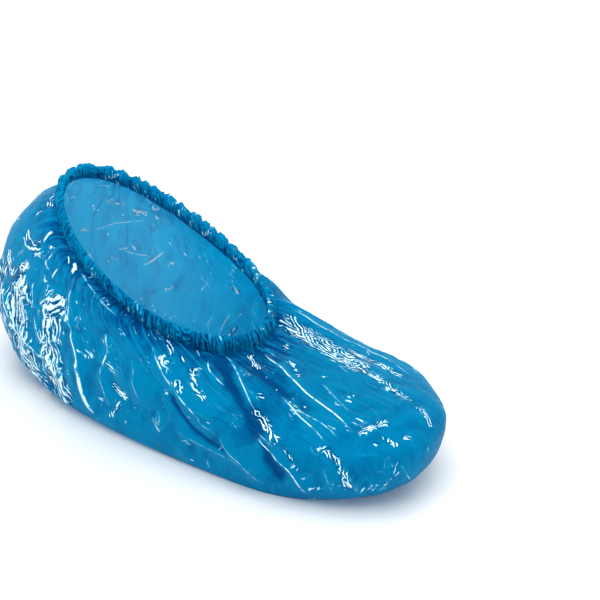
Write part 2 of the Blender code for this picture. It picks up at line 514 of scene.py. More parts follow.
    def _crushed(self, bench: Bench, place: Signal) -> tuple[Relief, Signal]:
        """Work out the crushed film, in coarse folds and fine threads, and the stray flecks.

        Args:
            bench: The bench to add nodes with.
            place: Places on the film in metres.

        Returns:
            The relief, and how crushed the film is.
        """
        swirl = bench.vectors("SUBTRACT", self.swirl.at(bench, place, "Color"), GREY)
        bent = bench.vectors("ADD", bench.stored("chart", "Vector"), bench.scaled(swirl, self.swirl_reach))
        cells = bench.add("ShaderNodeTexVoronoi", {}, {"Vector": bent, "Scale": self.facets}, "Color")
        lot = bench.part(cells, "X") - 0.5
        scraps = (self.scraps.at(bench, place) - 0.5) * self.scrap_share
        amounts, heights, gleams, shades = [], [], [], []
        for strands, name in ((self.folds, "crushed_coarse"), (self.threads, "crushed_fine")):
            amount = bench.stored(name) + scraps
            share = amount.ramp(*self.crushed)
            wave = strands.wave(bench, bent)
            # Each fold gets a bump, painted shade in its gaps and a painted highlight on its crests, by
            # facet.
            dark = (wave * -1.0 - lot * strands.unevenness).ramp(*strands.shade)
            amounts.append(amount)
            heights.append(wave * share * strands.height)
            gleams.append((wave + lot * self.facet_gleam + (amount - 1.0) * 2.0).ramp(*strands.gleam))
            shades.append(dark * share * strands.darkness)
        crush = amounts[0].most(amounts[1]).ramp(*self.crushed)
        # Flecks: small painted highlights scattered over the film.
        dashes = self.dashes.at(bench, bench.vectors("MULTIPLY", bent, ALONG_FOLDS)).ramp(*self.dash_edge)
        flecks = self.patches.at(bench, place).ramp(self.bare, self.bare + self.fleck_edge) * dashes
        height = heights[0] + heights[1] + lot * crush * self.facet_height
        gleam = gleams[0].most(gleams[1]).most(flecks * self.fleck_gleam)
        return Relief(height, gleam, shades[0] + shades[1]), crush

    def _lined(self, bench: Bench, place: Signal, grain: Signal, under: Relief) -> Relief:
        """Add the crest lines, fine wrinkles, hairs and dents, with their painted highlights and shade.

        Args:
            bench: The bench to add nodes with.
            place: Places on the film in metres.
            grain: Places on the film laid out flat, whose third axis runs down it.
            under: The crushed film's relief.

        Returns:
            The whole relief.
        """
        offset = abs(bench.stored("crest_offset"))
        breaks = self.breaks.at(bench, place).ramp(*self.break_edge)
        line = bench.stored("crest_sharp") * (self.unbroken + breaks * (1.0 - self.unbroken))
        along = bench.vectors("MULTIPLY", grain, DOWN_HAIRS)
        fine_wrinkles = self.fine_wrinkles.at(bench, along) - 0.5
        clear = self.clearings.at(bench, place).ramp(*self.clearing_edge)
        wisps = self.wisps.at(bench, along) * clear
        dents = self.dents.at(bench, bench.vectors("ADD", along, DENT_SHIFT)) * (clear * 0.5 + 0.5)
        hairs = self.hairs.at(bench, along) * self.hair_spots.at(bench, place).ramp(*self.hair_edge) * breaks
        height = under.height + self.crest_height.at(offset, line) + fine_wrinkles * self.fine_wrinkle_height
        height = height + wisps * self.wisps.height + hairs * self.hairs.height + dents * self.dents.height
        # Painted highlights along the crest lines, the hairs and the wisps.
        gleam = under.gleam.most(self.crest_gleam.at(offset, line))
        gleam = gleam.most(hairs * self.hairs.gleam + wisps * self.wisps.gleam).held()
        # Painted light and shade of the fine wrinkles and dents, stronger under the painted sheen, and a
        # band of painted shade beside the crest lines.
        pale = bench.stored("pale")
        shade = under.shade + dents * (pale * 0.35 + 0.25) - fine_wrinkles * (pale * 0.6 + 0.6)
        return Relief(height, gleam, shade + self.crest_shade.at(offset, line))


@dataclass(frozen=True)
class PlainFinish:
    """A matt finish with a faint cloud in it."""

    name: str
    colour: tuple[float, float, float]
    shade: tuple[float, float, float]
    cloud: Noise
    roughness: float

    def material(self) -> bpy.types.Material:
        """Make the material.

        Returns:
            A material that reads Object coordinates.
        """
        material, bench, shader = started(self.name)
        cloud = self.cloud.at(bench, bench.add("ShaderNodeTexCoord", {}, {}, "Object"))
        bench.feed(shader.inputs["Base Color"], bench.mixed(cloud, (*self.colour, 1.0), (*self.shade, 1.0)))
        bench.feed(shader.inputs["Roughness"], self.roughness)
        return material


@dataclass(frozen=True)
class Ring:
    """One level line of the cover: an oval in plan with its own height at heel, waist and toe."""

    x_heel: float
    x_toe: float
    x_mid: float
    half_width: float
    toe_fullness: float
    heel_fullness: float
    z_heel: float
    z_mid: float
    z_toe: float

    def points(self, angles: np.ndarray) -> np.ndarray:
        """Return the ring's points.

        Args:
            angles: Angles in radians, where 0 is the toe and a quarter turn the wearer's left.

        Returns:
            One row of x, y and z for each angle.
        """
        along, across = np.cos(angles), np.sin(angles)
        power = 2.0 / np.where(along > 0.0, self.toe_fullness, self.heel_fullness)
        reach = np.sign(along) * np.abs(along) ** power
        half = np.where(along > 0.0, self.x_toe - self.x_mid, self.x_mid - self.x_heel)
        x = self.x_mid + half * reach
        y = self.half_width * np.sign(across) * np.abs(across) ** power
        t = (x - self.x_heel) / (self.x_toe - self.x_heel)
        z = self.z_heel * 2.0 * (t - 0.5) * (t - 1.0)
        z = z + self.z_mid * 4.0 * t * (1.0 - t) + self.z_toe * 2.0 * t * (t - 0.5)
        return np.stack([x, y, z], axis=-1)


# Each ring: heel, toe, middle and half width, fullness at toe and heel, heights at heel, middle and toe.
RIM = Ring(-104.0, 33.0, -34.0, 45.0, 2.1, 2.1, 132.0, 93.0, 69.0)
FILM_RINGS = (
    Ring(-109.0, 42.0, -34.0, 48.0, 2.1, 2.2, 125.0, 86.0, 62.0),
    Ring(-136.0, 85.0, -1.0, 58.0, 2.2, 2.5, 102.0, 57.0, 59.0),
    Ring(-151.0, 152.5, 44.0, 60.0, 2.3, 2.7, 62.0, 33.0, 38.0),
    Ring(-140.0, 145.0, 34.0, 58.0, 2.3, 2.7, 12.0, 9.0, 14.0),
    Ring(-126.0, 119.0, 49.0, 54.0, 2.3, 2.7, 0.0, 0.0, 0.0),
    Ring(-63.0, 66.0, 27.0, 18.0, 2.2, 2.2, 0.0, 0.0, 0.0),
)
WIDEST_RING = FILM_RINGS[2]
# Heights of the film's tucked top on the hem's middle line, and the levels that they stand for.
TUCK_HEIGHTS = (0.5, -3.0, -6.2)
TUCK_LEVELS = (0.0, 0.3, 0.6)
# How far the hem leans in for each millimetre that it rises, at heel and toe and at the sides.
LEAN_ENDS = 0.42
LEAN_SIDES = 0.14
FINE_STEPS = 1440
FINE_ANGLES = np.linspace(0.0, FULL_TURN, FINE_STEPS + 1)
UPWARDS = (0.0, 0.0, 1.0)
# Keeps a length that is divided by off zero: of any vector, and of the gap between two control rows.
LEAST_LENGTH = 1e-12
LEAST_GAP = 1e-6


def unit(vectors: np.ndarray) -> np.ndarray:
    """Return vectors cut to a length of one."""
    return vectors / np.maximum(np.linalg.norm(vectors, axis=-1, keepdims=True), LEAST_LENGTH)


def turned(angles: np.ndarray, centre: np.ndarray | float) -> np.ndarray:
    """Return degrees from a centre to angles given in radians, between -180 and 180."""
    return (np.degrees(angles) - centre + 180.0) % 360.0 - 180.0


def eased(values: np.ndarray) -> np.ndarray:
    """Return a soft step from 0 to 1."""
    t = np.clip(values, 0.0, 1.0)
    return t * t * (3.0 - 2.0 * t)


def rim_frames(angles: np.ndarray, nudge: float = 0.01) -> tuple[np.ndarray, np.ndarray, np.ndarray]:
    """Return the hem's middle line with the ways out and up at each angle.

    Args:
        angles: Angles in radians.
        nudge: Radians to each side by which the line's own way is measured.

    Returns:
        Places, ways out and ways up, one row for each angle.
    """
    along = RIM.points(angles + nudge) - RIM.points(angles - nudge)
    out = unit(np.cross(along, UPWARDS))
    lean = LEAN_SIDES + (LEAN_ENDS - LEAN_SIDES) * np.cos(angles) ** 2
    return RIM.points(angles), out, unit(np.array(UPWARDS) - out * lean[:, None])


def way_round(ring: Ring) -> np.ndarray:
    """Return the share of a ring's length that lies before each of the fine angles."""
    steps = np.linalg.norm(np.diff(ring.points(FINE_ANGLES), axis=0), axis=1)
    return np.concatenate(([0.0], np.cumsum(steps) / steps.sum()))


def even_angles(count: int, rings: tuple[Ring, ...]) -> np.ndarray:
    """Return angles whose steps are as even as they can be on all of some rings.

    Args:
        count: How many angles.
        rings: The rings to step evenly along.

    Returns:
        Angles in radians from 0 up to a full turn.
    """
    share = sum(way_round(ring) / len(rings) for ring in rings)
    return np.interp(np.arange(count) / count, share, FINE_ANGLES)


def turns_of(angles: np.ndarray) -> np.ndarray:
    """Return the share of the rim's length that lies before each angle given in radians."""
    return np.interp(angles, FINE_ANGLES, way_round(RIM))


@dataclass(frozen=True)
class Fade:
    """A soft step from 0 to 1: where it starts and how far it runs, down where that is negative."""

    start: float
    span: float

    def at(self, values: np.ndarray) -> np.ndarray:
        """Return the step at some values."""
        return eased((values - self.start) / self.span)


@dataclass(frozen=True)
class Swelling:
    """A soft swelling of height 1 about an angle of the cover, both in degrees."""

    centre: float
    width: float

    def at(self, angles: np.ndarray | float) -> np.ndarray:
        """Return the swelling at angles given in radians."""
        return np.exp(-((turned(angles, self.centre) / self.width) ** 2))


# A fixed turn that keeps the crumple's lattice off the cover's own axes.
LATTICE_TURN = np.array(((0.80, 0.36, -0.48), (-0.60, 0.48, -0.64), (0.00, 0.80, 0.60)))
# Odd whole numbers and shifts that scatter a lattice point's place into a value that looks random.
SCATTER_AXES = (73856093, 19349663, 83492791)
SCATTER_SEED = 2654435761
SCATTER_ROUNDS = ((15, 2246822519), (13, 3266489917))
SCATTER_LAST = 16
WORD = 0xFFFFFFFF
# How fast the lattice swirls along its first axis, how much faster on each next one, and its shift there.
SWIRL_RATE, SWIRL_RATE_STEP, SWIRL_SHIFT = 1.5, 0.2, 7.3


@dataclass(frozen=True)
class Facets:
    """Crumple noise: flat facets that meet in sharp creases, as in crushed film."""

    cell: tuple[float, float, float]
    seed: int
    bend: float = 0.45

    def _scattered(self, lattice: np.ndarray) -> np.ndarray:
        """Scatter lattice points.

        Args:
            lattice: Whole places in the lattice.

        Returns:
            A number from -1 to 1 for each, always the same for the same place and seed.
        """
        x, y, z = (lattice[..., axis] * factor for axis, factor in enumerate(SCATTER_AXES))
        value = ((x ^ y ^ z) + self.seed * SCATTER_SEED) & WORD
        for shift, factor in SCATTER_ROUNDS:
            value = ((value ^ (value >> shift)) * factor) & WORD
        return (value ^ (value >> SCATTER_LAST)) / (WORD / 2.0) - 1.0

    def _flat(self, places: np.ndarray) -> np.ndarray:
        """Work out noise that is linear inside each of the six simplices of a lattice cube.

        Args:
            places: Places in the lattice.

        Returns:
            A number from -1 to 1 for each.
        """
        base = np.floor(places).astype(np.int64)
        part = places - base
        order = np.argsort(-part, axis=-1)
        ranked = np.take_along_axis(part, order, axis=-1)
        corner = base.copy()
        value = self._scattered(corner) * (1.0 - ranked[..., 0])
        for rank in range(3):
            step = np.zeros_like(base)
            np.put_along_axis(step, order[..., rank:rank + 1], 1, axis=-1)
            corner = corner + step
            after = ranked[..., rank + 1] if rank < 2 else 0.0
            value = value + self._scattered(corner) * (ranked[..., rank] - after)
        return value

    def heights(self, points: np.ndarray) -> np.ndarray:
        """Return the crumple at each point.

        Args:
            points: Places in millimetres.

        Returns:
            Heights from about -1 to 1.
        """
        places = points @ LATTICE_TURN / np.array(self.cell)
        for axis in range(3):
            swirl = np.roll(places, axis + 1, axis=-1)[..., :1] * (SWIRL_RATE + SWIRL_RATE_STEP * axis)
            places = places + self.bend * np.sin(swirl + SWIRL_SHIFT * axis) * np.eye(3)[axis]
        return self._flat(places)


@dataclass(frozen=True)
class Course:
    """A way over the film, by the angles in degrees and the levels that it passes through."""

    name: str
    path: tuple[tuple[float, float], ...]
    half_width: float
    height: float

    def traced(self, steps: int = 12) -> np.ndarray:
        """Return angles and levels along a smooth line through the stops of the way.

        Args:
            steps: How many pieces each stretch between two stops is cut into.

        Returns:
            One row of an angle and a level for each point.
        """
        stops = np.array(self.path)
        stops = np.concatenate((2.0 * stops[:1] - stops[1:2], stops, 2.0 * stops[-1:] - stops[-2:-1]))
        t = (np.arange(steps) / steps)[:, None]
        pieces = []
        for before, start, end, after in zip(stops, stops[1:], stops[2:], stops[3:]):
            bend = 2.0 * before - 5.0 * start + 4.0 * end - after
            twist = 3.0 * (start - end) + after - before
            pieces.append(start + 0.5 * t * (end - before + t * (bend + t * twist)))
        pieces.append(stops[-2:-1])
        return np.concatenate(pieces)


@dataclass(frozen=True)
class Surroundings:
    """Where the film's points about a course lie: which they are, how far off it and how far along it."""

    index: np.ndarray
    offset: np.ndarray
    run: np.ndarray
    share: np.ndarray


@dataclass(frozen=True)
class Crease(Course):
    """A long crease: a crest or a trough, with a sharp line on it where the film is folded."""

    sharpness: float = 1.0
    line: float = 0.5
    crest: Crest = Crest.RIDGE


@dataclass(frozen=True)
class CreaseForm:
    """What all creases share: how they sway, widen, rise from their ends and carry their line.

    The reach is in half widths. A sway is millimetres to the side, and the millimetres that set its pace.
    """

    reach: float = 4.0
    slow_sway: tuple[float, float] = (0.2, 9.0)
    quick_sway: tuple[float, float] = (0.1, 2.7)
    start_width: float = 0.6
    widening: float = 0.7
    steep_side: float = 0.8
    long_side: float = 1.25
    bell_power: float = 1.15
    lead_in: float = 6.0
    lead_out: float = 3.5
    line_reach: float = 1.7
    line_power: int = 4

    def profile(self, crease: Crease, near: Surroundings) -> tuple[np.ndarray, np.ndarray, np.ndarray]:
        """Work out a crease at the points about it.

        Args:
            crease: The crease.
            near: Where the points lie from it.

        Returns:
            Heights, distances from the crest line in its own widths, and how sharp that line is.
        """
        (slow, slow_pace), (quick, quick_pace) = self.slow_sway, self.quick_sway
        sway = slow * np.sin(near.run / slow_pace + crease.height)
        sway = sway + quick * np.sin(near.run / quick_pace + crease.half_width)
        offset = near.offset + sway
        width = crease.half_width * (self.start_width + self.widening * near.share)
        side = np.where(offset > 0.0, self.long_side, self.steep_side)
        bell = np.exp(-(np.abs(offset / (width * side)) ** self.bell_power))
        ends = eased(near.share * self.lead_in) * eased((1.0 - near.share) * self.lead_out)
        line = np.exp(-((offset / (self.line_reach + crease.line)) ** self.line_power))
        height = crease.crest.value * crease.height * bell * ends
        return height, offset / crease.line, crease.sharpness * ends * line


def hollow(name: str, path: tuple[tuple[float, float], ...], half_width: float, height: float) -> Crease:
    """Return a soft trough between creases."""
    return Crease(name, path, half_width, height, 0.0, crest=Crest.VALLEY)


# Each crease: its name, its way, half width and height in millimetres, sharpness and half width of its line.
# A way's angles are 0 at the toe, 90 on the wearer's left and 180 at the heel. Its levels run from 0 at the
# film's tucked top, over 1 for the first film ring and so on, to 6 for the last one under the sole.
SIDE_CREASES = (
    Crease("side line", ((-78, 1.25), (-82, 1.8), (-84, 2.1), (-90, 2.6), (-90, 3.0)), 6.0, 2.2, 0.8),
    Crease("side line end", ((-90, 2.9), (-87, 3.25), (-81, 3.5), (-75, 3.9), (-72, 4.3)), 5.0, 2.0, 0.6),
    Crease("low side line", ((-95, 3.2), (-90, 3.4), (-84, 3.48), (-78, 3.65), (-74, 3.95)), 4.0, 1.5, 0.35),
    hollow("side hollow", ((-88, 2.0), (-93, 2.7), (-91, 3.15), (-85, 3.4), (-77, 3.8)), 3.5, 1.5),
    Crease("near back line", ((-97, 1.6), (-100, 1.9), (-105, 2.35), (-107.5, 2.6)), 4.0, 1.8, 1.3, 0.7),
    Crease("near back end", ((-107, 2.5), (-109, 2.9), (-108.7, 3.2), (-107, 3.55)), 4.5, 1.7, 0.8),
    Crease("hem side line", ((-114, 0.98), (-104, 1.06), (-95, 1.14), (-89, 1.15)), 3.0, 0.8, 0.5),
    Crease("side mark", ((-98.8, 3.2), (-97.6, 3.38), (-96.3, 3.56)), 2.5, 0.8, 1.4, 0.8),
    Crease("side mark branch", ((-97.8, 2.95), (-97.0, 3.45)), 2.5, 0.6, 1.0, 0.6),
    Crease("low side mark", ((-89.7, 3.85), (-90.0, 4.3)), 2.5, 0.5, 0.5),
    Crease("near short line", ((-92, 1.75), (-95, 2.1), (-99, 2.5), (-101.5, 3.0)), 3.5, 1.2, 0.5),
)
FRONT_CREASES = (
    Crease("hem stay", ((-52, 1.2), (-56, 1.4), (-56, 1.55), (-55, 1.7)), 3.0, 0.9, 1.1),
    Crease("hem stay top", ((-50, 0.8), (-54.4, 1.15)), 2.5, 0.8, 0.7),
    Crease("front line", ((-33, 0.75), (-38, 1.12), (-44, 1.5), (-48, 1.8), (-53, 2.15)), 4.5, 1.8, 0.9),
    Crease("low front line", ((-73, 2.6), (-75, 2.8), (-72.5, 3.0), (-67, 3.35), (-54, 4.35)), 5.0, 2.0, 1.3,
           0.6),
    Crease("low front branch", ((-74, 2.88), (-70, 3.16), (-63, 3.68)), 2.5, 0.8, 0.6),
    hollow("deep hollow", ((-43, 0.9), (-50, 1.5), (-57, 2.1), (-69, 2.5), (-77, 2.95)), 7.0, 2.6),
    hollow("deep hollow end", ((-75, 2.7), (-76, 3.1), (-71, 3.5), (-66, 3.9)), 6.0, 2.2),
    Crease("long vamp line", ((-8, 0.95), (-13, 1.16), (-20, 1.7), (-24, 2.14), (-31, 2.55)), 4.0, 1.6, 1.9,
           0.6),
    hollow("vamp hollow", ((-26, 0.9), (-31, 1.5), (-31, 1.9), (-38, 2.4)), 7.0, 1.5),
    Crease("forefoot line", ((-33, 1.9), (-36, 2.1), (-40.5, 2.27), (-48, 2.66)), 4.0, 1.5, 1.4),
    Crease("forefoot branch", ((-31.5, 2.0), (-36, 2.22), (-38, 2.45), (-41.3, 2.62)), 2.5, 0.7, 0.7),
    Crease("faint vamp line", ((-10, 1.98), (-15, 2.17), (-21, 2.36)), 2.5, 0.5, 0.45),
    Crease("low toe line", ((-23, 3.1), (-19, 3.4), (-11.5, 3.87)), 3.0, 0.9, 0.7),
    Crease("upper front ridge", ((-5, 0.8), (-8, 1.15)), 2.5, 0.7, 0.6),
    Crease("low forefoot line", ((-57, 3.0), (-52, 3.6), (-47, 4.1)), 4.0, 1.0, 0.3),
)
HEEL_CREASES = (
    Crease("patch edge top", ((-111, 1.4), (-113, 1.7), (-114.6, 1.95), (-113.8, 2.2)), 3.0, 1.4, 1.1),
    Crease("patch edge", ((-114, 2.1), (-114.5, 2.5), (-115.3, 2.9), (-115, 3.2)), 4.0, 2.2, 1.5, 0.8),
    Crease("patch edge low", ((-115.6, 2.8), (-115.2, 3.3), (-113.5, 3.6), (-111.3, 3.95)), 4.0, 2.4, 3.0,
           1.9),
    Crease("patch top line", ((-128, 2.29), (-124.4, 1.97), (-120.5, 1.7)), 3.0, 1.0, 1.3, 0.7),
    Crease("patch inner line", ((-139, 3.12), (-133.5, 3.32), (-129, 3.34), (-125, 3.25)), 4.0, 1.6, 1.3,
           0.8),
    Crease("patch bow", ((-131.4, 2.7), (-128, 3.05), (-122.4, 2.78), (-120, 2.8)), 3.0, 1.2, 1.3, 0.7),
    Crease("heel outer line", ((-153, 2.8), (-147, 3.15), (-139, 3.35), (-131, 3.35)), 4.0, 1.4, 1.4, 0.8),
    Crease("heel line", ((-139.5, 2.15), (-137.4, 2.6), (-133.5, 2.9)), 3.5, 1.3, 1.4, 0.8),
    Crease("heel inner line", ((-132.5, 2.0), (-130.8, 2.55)), 3.0, 1.0, 1.2, 0.6),
    Crease("heel upper mark", ((-134.4, 1.33), (-137.2, 1.04)), 2.5, 0.7, 1.8, 1.0),
    Crease("heel middle mark", ((-128.6, 1.45), (-127.3, 1.52), (-124.9, 1.53)), 2.5, 0.7, 1.8, 0.9),
    Crease("heel slant mark", ((-120.2, 1.36), (-122.9, 1.61)), 2.5, 0.7, 1.8, 0.7),
    Crease("heel cross mark", ((-136.6, 1.68), (-130.8, 1.37)), 2.5, 0.6, 1.2),
    Crease("heel seam ridge", ((180, 0.9), (180, 4.3)), 3.0, 0.9, 0.7),
    Crease("heel lower ridge", ((-160, 2.4), (-163, 3.2), (-158, 4.1)), 4.5, 1.4, 1.0),
)
FAR_CREASES = (
    Crease("inner long line", ((143, 2.58), (137, 2.32), (131, 2.06), (123, 1.72)), 2.5, 0.5, 0.8),
    Crease("inner mark", ((133.5, 2.76), (129, 2.75), (123, 2.62)), 2.0, 0.4, 0.9),
    Crease("inner slant mark", ((126.8, 2.95), (123, 2.67), (118.5, 2.3)), 2.0, 0.4, 1.5, 0.9),
    Crease("inner dash", ((111.8, 2.97), (110.2, 2.79), (108, 2.55)), 2.0, 0.3, 0.9),
    Crease("inner top mark", ((145.6, 1.5), (143.5, 1.41), (140.2, 1.42)), 2.0, 0.3, 1.3, 0.8),
    Crease("inner back tick", ((134.3, 2.8), (132.7, 2.73), (131, 2.66)), 2.0, 0.3, 1.4, 0.9),
    Crease("inner low tick", ((121.4, 3.34), (119.7, 3.22), (118.2, 3.08)), 2.0, 0.3, 1.0, 0.6),
    Crease("inner front mark", ((105.2, 3.2), (106.9, 4.05)), 2.0, 0.4, 0.9),
    Crease("inner front tick", ((100.9, 3.15), (99.2, 3.45)), 2.0, 0.4, 0.9),
    Crease("far instep line", ((48, 1.2), (40, 1.6), (38, 1.95), (40, 2.2), (29, 2.58)), 4.0, 1.5, 0.9),
    Crease("far forefoot ridge", ((52, 0.9), (49, 2.2), (42, 3.8)), 6.0, 2.0, 0.8),
    hollow("far vamp hollow", ((62, 1.0), (64, 2.2), (58, 3.3)), 8.0, 1.8),
    Crease("far vamp ridge", ((68, 0.8), (74, 2.0), (70, 3.2)), 5.0, 1.6, 0.6),
    Crease("far side ridge", ((88, 1.8), (84, 2.8), (92, 3.9)), 6.0, 1.6, 0.15),
    Crease("far back ridge", ((116, 2.6), (120, 3.2), (112, 4.0)), 5.0, 1.5, 0.0),
    Crease("far heel ridge", ((152, 1.2), (148, 2.4), (150, 3.8)), 5.0, 1.3, 0.0),
)
CREASES = SIDE_CREASES + FRONT_CREASES + HEEL_CREASES + FAR_CREASES


@dataclass(frozen=True)
class Crumple(Course):
    """A band of crushed film, in fine threads and in larger folds that run along it."""

    fine: float = 1.0
    coarse: float = 0.0
    facets: Facets = Facets((9.0, 7.0, 15.0), 11)


@dataclass(frozen=True)
class CrumpleForm:
    """What all crushed bands share: how they fade out, and how their charts are kept apart.

    The reach is in half widths, and the chart step is millimetres between the charts of two bands.
    """

    reach: float = 1.7
    edge_power: int = 3
    lead: float = 7.0
    end_share: float = 0.3
    margin: float = 0.02
    chart_step: float = 37.0

    def mask(self, band: Crumple, near: Surroundings) -> np.ndarray:
        """Work out how strong a band is at the points about it.

        Args:
            band: The crushed band.
            near: Where the points lie from it.

        Returns:
            A number from 0 to 1 for each point.
        """
        ends = eased(near.share * self.lead + self.end_share)
        ends = ends * eased((1.0 - near.share) * self.lead + self.end_share)
        return np.exp(-(np.abs(near.offset / band.half_width) ** self.edge_power)) * ends


STRIPS = Facets((12.0, 6.0, 6.0), 37)
# Each crushed band: its name, its way, half width and height, and how fine and how coarse its folds are.
HEEL_CRUMPLES = (
    Crumple("patch", ((-118, 1.6), (-123, 2.4), (-125, 3.2), (-120, 4.2)), 12.0, 1.9, 0.75, 0.95),
    Crumple("heel rounding", ((-136, 2.1), (-141, 2.8), (-138, 3.5), (-130, 4.4)), 15.0, 1.3, 0.75, 0.95),
    Crumple("heel outer", ((-157, 2.4), (-155, 3.1), (-150, 4.2)), 10.0, 0.9, 0.7, 0.8),
    Crumple("heel blob", ((-151, 1.72), (-143, 1.66), (-138, 1.55), (-134, 1.4)), 4.5, 0.6, 0.6, 1.0),
    Crumple("heel ring", ((-157, 2.3), (-147, 2.42), (-140, 2.02), (-137, 1.85)), 3.6, 0.6, 1.0, 0.8),
    Crumple("heel top", ((-172, 0.85), (-163, 0.97), (-155, 1.05)), 4.5, 0.3, 1.0, 0.3),
    Crumple("heel hem mark", ((-122, 0.98), (-117, 1.02), (-112, 1.08)), 3.2, 0.6, 0.6, 0.9),
    Crumple("heel back", ((172, 2.2), (176, 3.0), (174, 4.2)), 14.0, 1.0, 0.4, 0.6),
    Crumple("heel top marks", ((-155, 1.35), (-153.6, 1.16), (-156.3, 1.04)), 2.4, 0.4, 0.9, 0.4),
    Crumple("inner back crush", ((139.9, 1.81), (137.4, 1.73), (134.3, 1.72)), 2.0, 0.3, 0.8, 0.8),
    Crumple("inner side crush", ((128.8, 1.77), (125.5, 1.64), (122, 1.6)), 2.6, 0.4, 0.6, 1.0),
    Crumple("inner heel tick", ((148.6, 2.69), (146.9, 2.65), (144.8, 2.59)), 1.8, 0.3, 1.0, 0.8),
    Crumple("inner front flecks", ((104, 3.82), (103.5, 3.63), (103, 3.41)), 1.8, 0.3, 0.8, 0.9),
    Crumple("inner front crush", ((100.3, 2.3), (99.8, 2.36), (100.2, 2.5)), 2.8, 0.3, 0.8, 0.8),
    Crumple("far heel", ((152, 3.5), (146, 4.2)), 10.0, 0.8, 0.4, 0.55),
)
SIDE_CRUMPLES = (
    Crumple("near crush", ((-106.3, 2.84), (-105, 2.97), (-103.6, 3.1)), 3.0, 0.6, 1.0, 0.5),
    Crumple("near low crush", ((-107, 3.8), (-105.6, 3.5), (-105.4, 3.2)), 2.4, 0.6, 1.0, 0.4),
    Crumple("near tick", ((-102.6, 2.2), (-103.6, 2.48)), 2.0, 0.4, 0.9, 0.3),
    Crumple("side streak", ((-65.3, 0.78), (-69.3, 1.19), (-71.8, 1.35)), 1.8, 0.4, 1.0, 0.3),
    Crumple("side loop", ((-76.0, 1.38), (-78.4, 1.53), (-78.9, 1.7)), 3.0, 0.5, 1.0, 0.5),
    Crumple("side blob", ((-78.1, 1.78), (-79.4, 1.9), (-81.0, 2.02)), 3.0, 0.6, 1.1, 0.5),
    Crumple("side tick", ((-66.1, 1.28), (-67.0, 1.39)), 1.6, 0.3, 1.0, 0.3),
    Crumple("side short chain", ((-64.8, 1.44), (-69.4, 1.74), (-72.3, 2.06)), 2.5, 0.6, 1.1, 0.3),
    Crumple("far side crush", ((97, 3.2), (94, 4.1)), 11.0, 0.7, 0.45, 0.5),
)
FRONT_CRUMPLES = (
    Crumple("front crush", ((-51.5, 2.05), (-58, 2.32), (-64.7, 2.54), (-66.5, 2.66)), 3.2, 0.8, 1.0, 0.4),
    Crumple("front crush end", ((-66.5, 2.7), (-68.2, 2.82), (-67.5, 2.98)), 1.6, 0.5, 1.0, 0.4),
    Crumple("hem front crush", ((-16, 0.75), (-23, 1.1), (-27, 1.36)), 2.5, 0.5, 1.0, 0.5),
    Crumple("hem front flecks", ((-28, 1.4), (-30, 1.6), (-33, 1.82)), 1.5, 0.3, 0.8),
    Crumple("low front crush", ((-52, 2.66), (-50, 3.0), (-46.7, 3.42), (-42.5, 3.85)), 3.2, 0.9, 1.0, 0.4),
    Crumple("toe crush", ((-31, 2.57), (-25, 2.55), (-18, 2.55), (-12, 2.55)), 3.2, 0.8, 1.0, 0.5),
    Crumple("strip", ((36, 0.9), (28, 1.11), (24.5, 1.4), (20, 1.75), (14, 2.2)), 9.5, 0.8, 1.0, 0.3,
            STRIPS),
    Crumple("strip end", ((15, 2.05), (10, 2.33), (6, 2.48), (8, 2.58)), 3.4, 0.6, 1.0, 0.3, STRIPS),
    Crumple("strip far end", ((31, 1.95), (27.5, 2.25), (24.5, 2.45)), 3.6, 0.6, 1.0, 0.3, STRIPS),
    Crumple("toe threads", ((6, 2.6), (3.5, 2.72), (1, 2.84)), 2.6, 0.4, 1.0, 0.4),
    Crumple("toe tick", ((-30.5, 2.71), (-28.3, 2.73)), 1.8, 0.3, 1.0, 0.3),
    Crumple("toe middle tick", ((-23, 2.66), (-21.5, 2.82)), 1.8, 0.3, 1.0, 0.3),
    Crumple("toe far tick", ((-15.5, 2.74), (-12.5, 2.8)), 1.8, 0.3, 1.0, 0.3),
    Crumple("vamp tick", ((-14.6, 1.62), (-12.6, 1.68)), 2.0, 0.3, 1.0, 0.3),
    Crumple("front tick", ((-42.9, 1.82), (-42.0, 1.92)), 1.8, 0.3, 1.0, 0.3),
    Crumple("far vamp crush", ((56, 1.6), (52, 3.2)), 6.0, 0.6, 0.5, 0.5),
)
CRUMPLES = HEEL_CRUMPLES + SIDE_CRUMPLES + FRONT_CRUMPLES


@dataclass(frozen=True)
class Swing:
    """One slow swing in the spacing of the pleats: how far, how often round the hem and where."""

    reach: float
    times: int
    start: float

    def at(self, turns: np.ndarray) -> np.ndarray:
        """Return the swing at each share of the way round."""
        return self.reach * np.sin(FULL_TURN * (self.times * turns + self.start))


@dataclass(frozen=True)
class Pleating:
    """The pleats that the elastic draws up, the same in the hem and in the film under it."""

    pleats: int = 108
    scallops: int = 42
    swings: tuple[Swing, ...] = (
        Swing(1.2, 3, 0.10),
        Swing(0.9, 7, 0.35),
        Swing(0.38, 17, 0.80),
        Swing(0.16, 41, 0.55),
    )
    bunches: tuple[Swing, ...] = (Swing(0.30, 11, 0.30), Swing(0.30, 23, 0.65), Swing(0.15, 37, 0.20))
    bunch_height: float = 0.55
    bunch_least: float = 0.05
    scallop_pull: float = 0.34

    def wave(self, turns: np.ndarray) -> np.ndarray:
        """Work out the pleats' swing in and out.

        Args:
            turns: Shares of the way round.

        Returns:
            A number from -1 to 1 for each.
        """
        phase = self.pleats * turns + sum(swing.at(turns) for swing in self.swings)
        height = self.bunch_height + np.zeros(turns.shape)
        for bunch in self.bunches:
            height += bunch.at(turns)
        return np.clip(height, self.bunch_least, 1.0) * np.sin(FULL_TURN * phase)


PLEATING = Pleating()


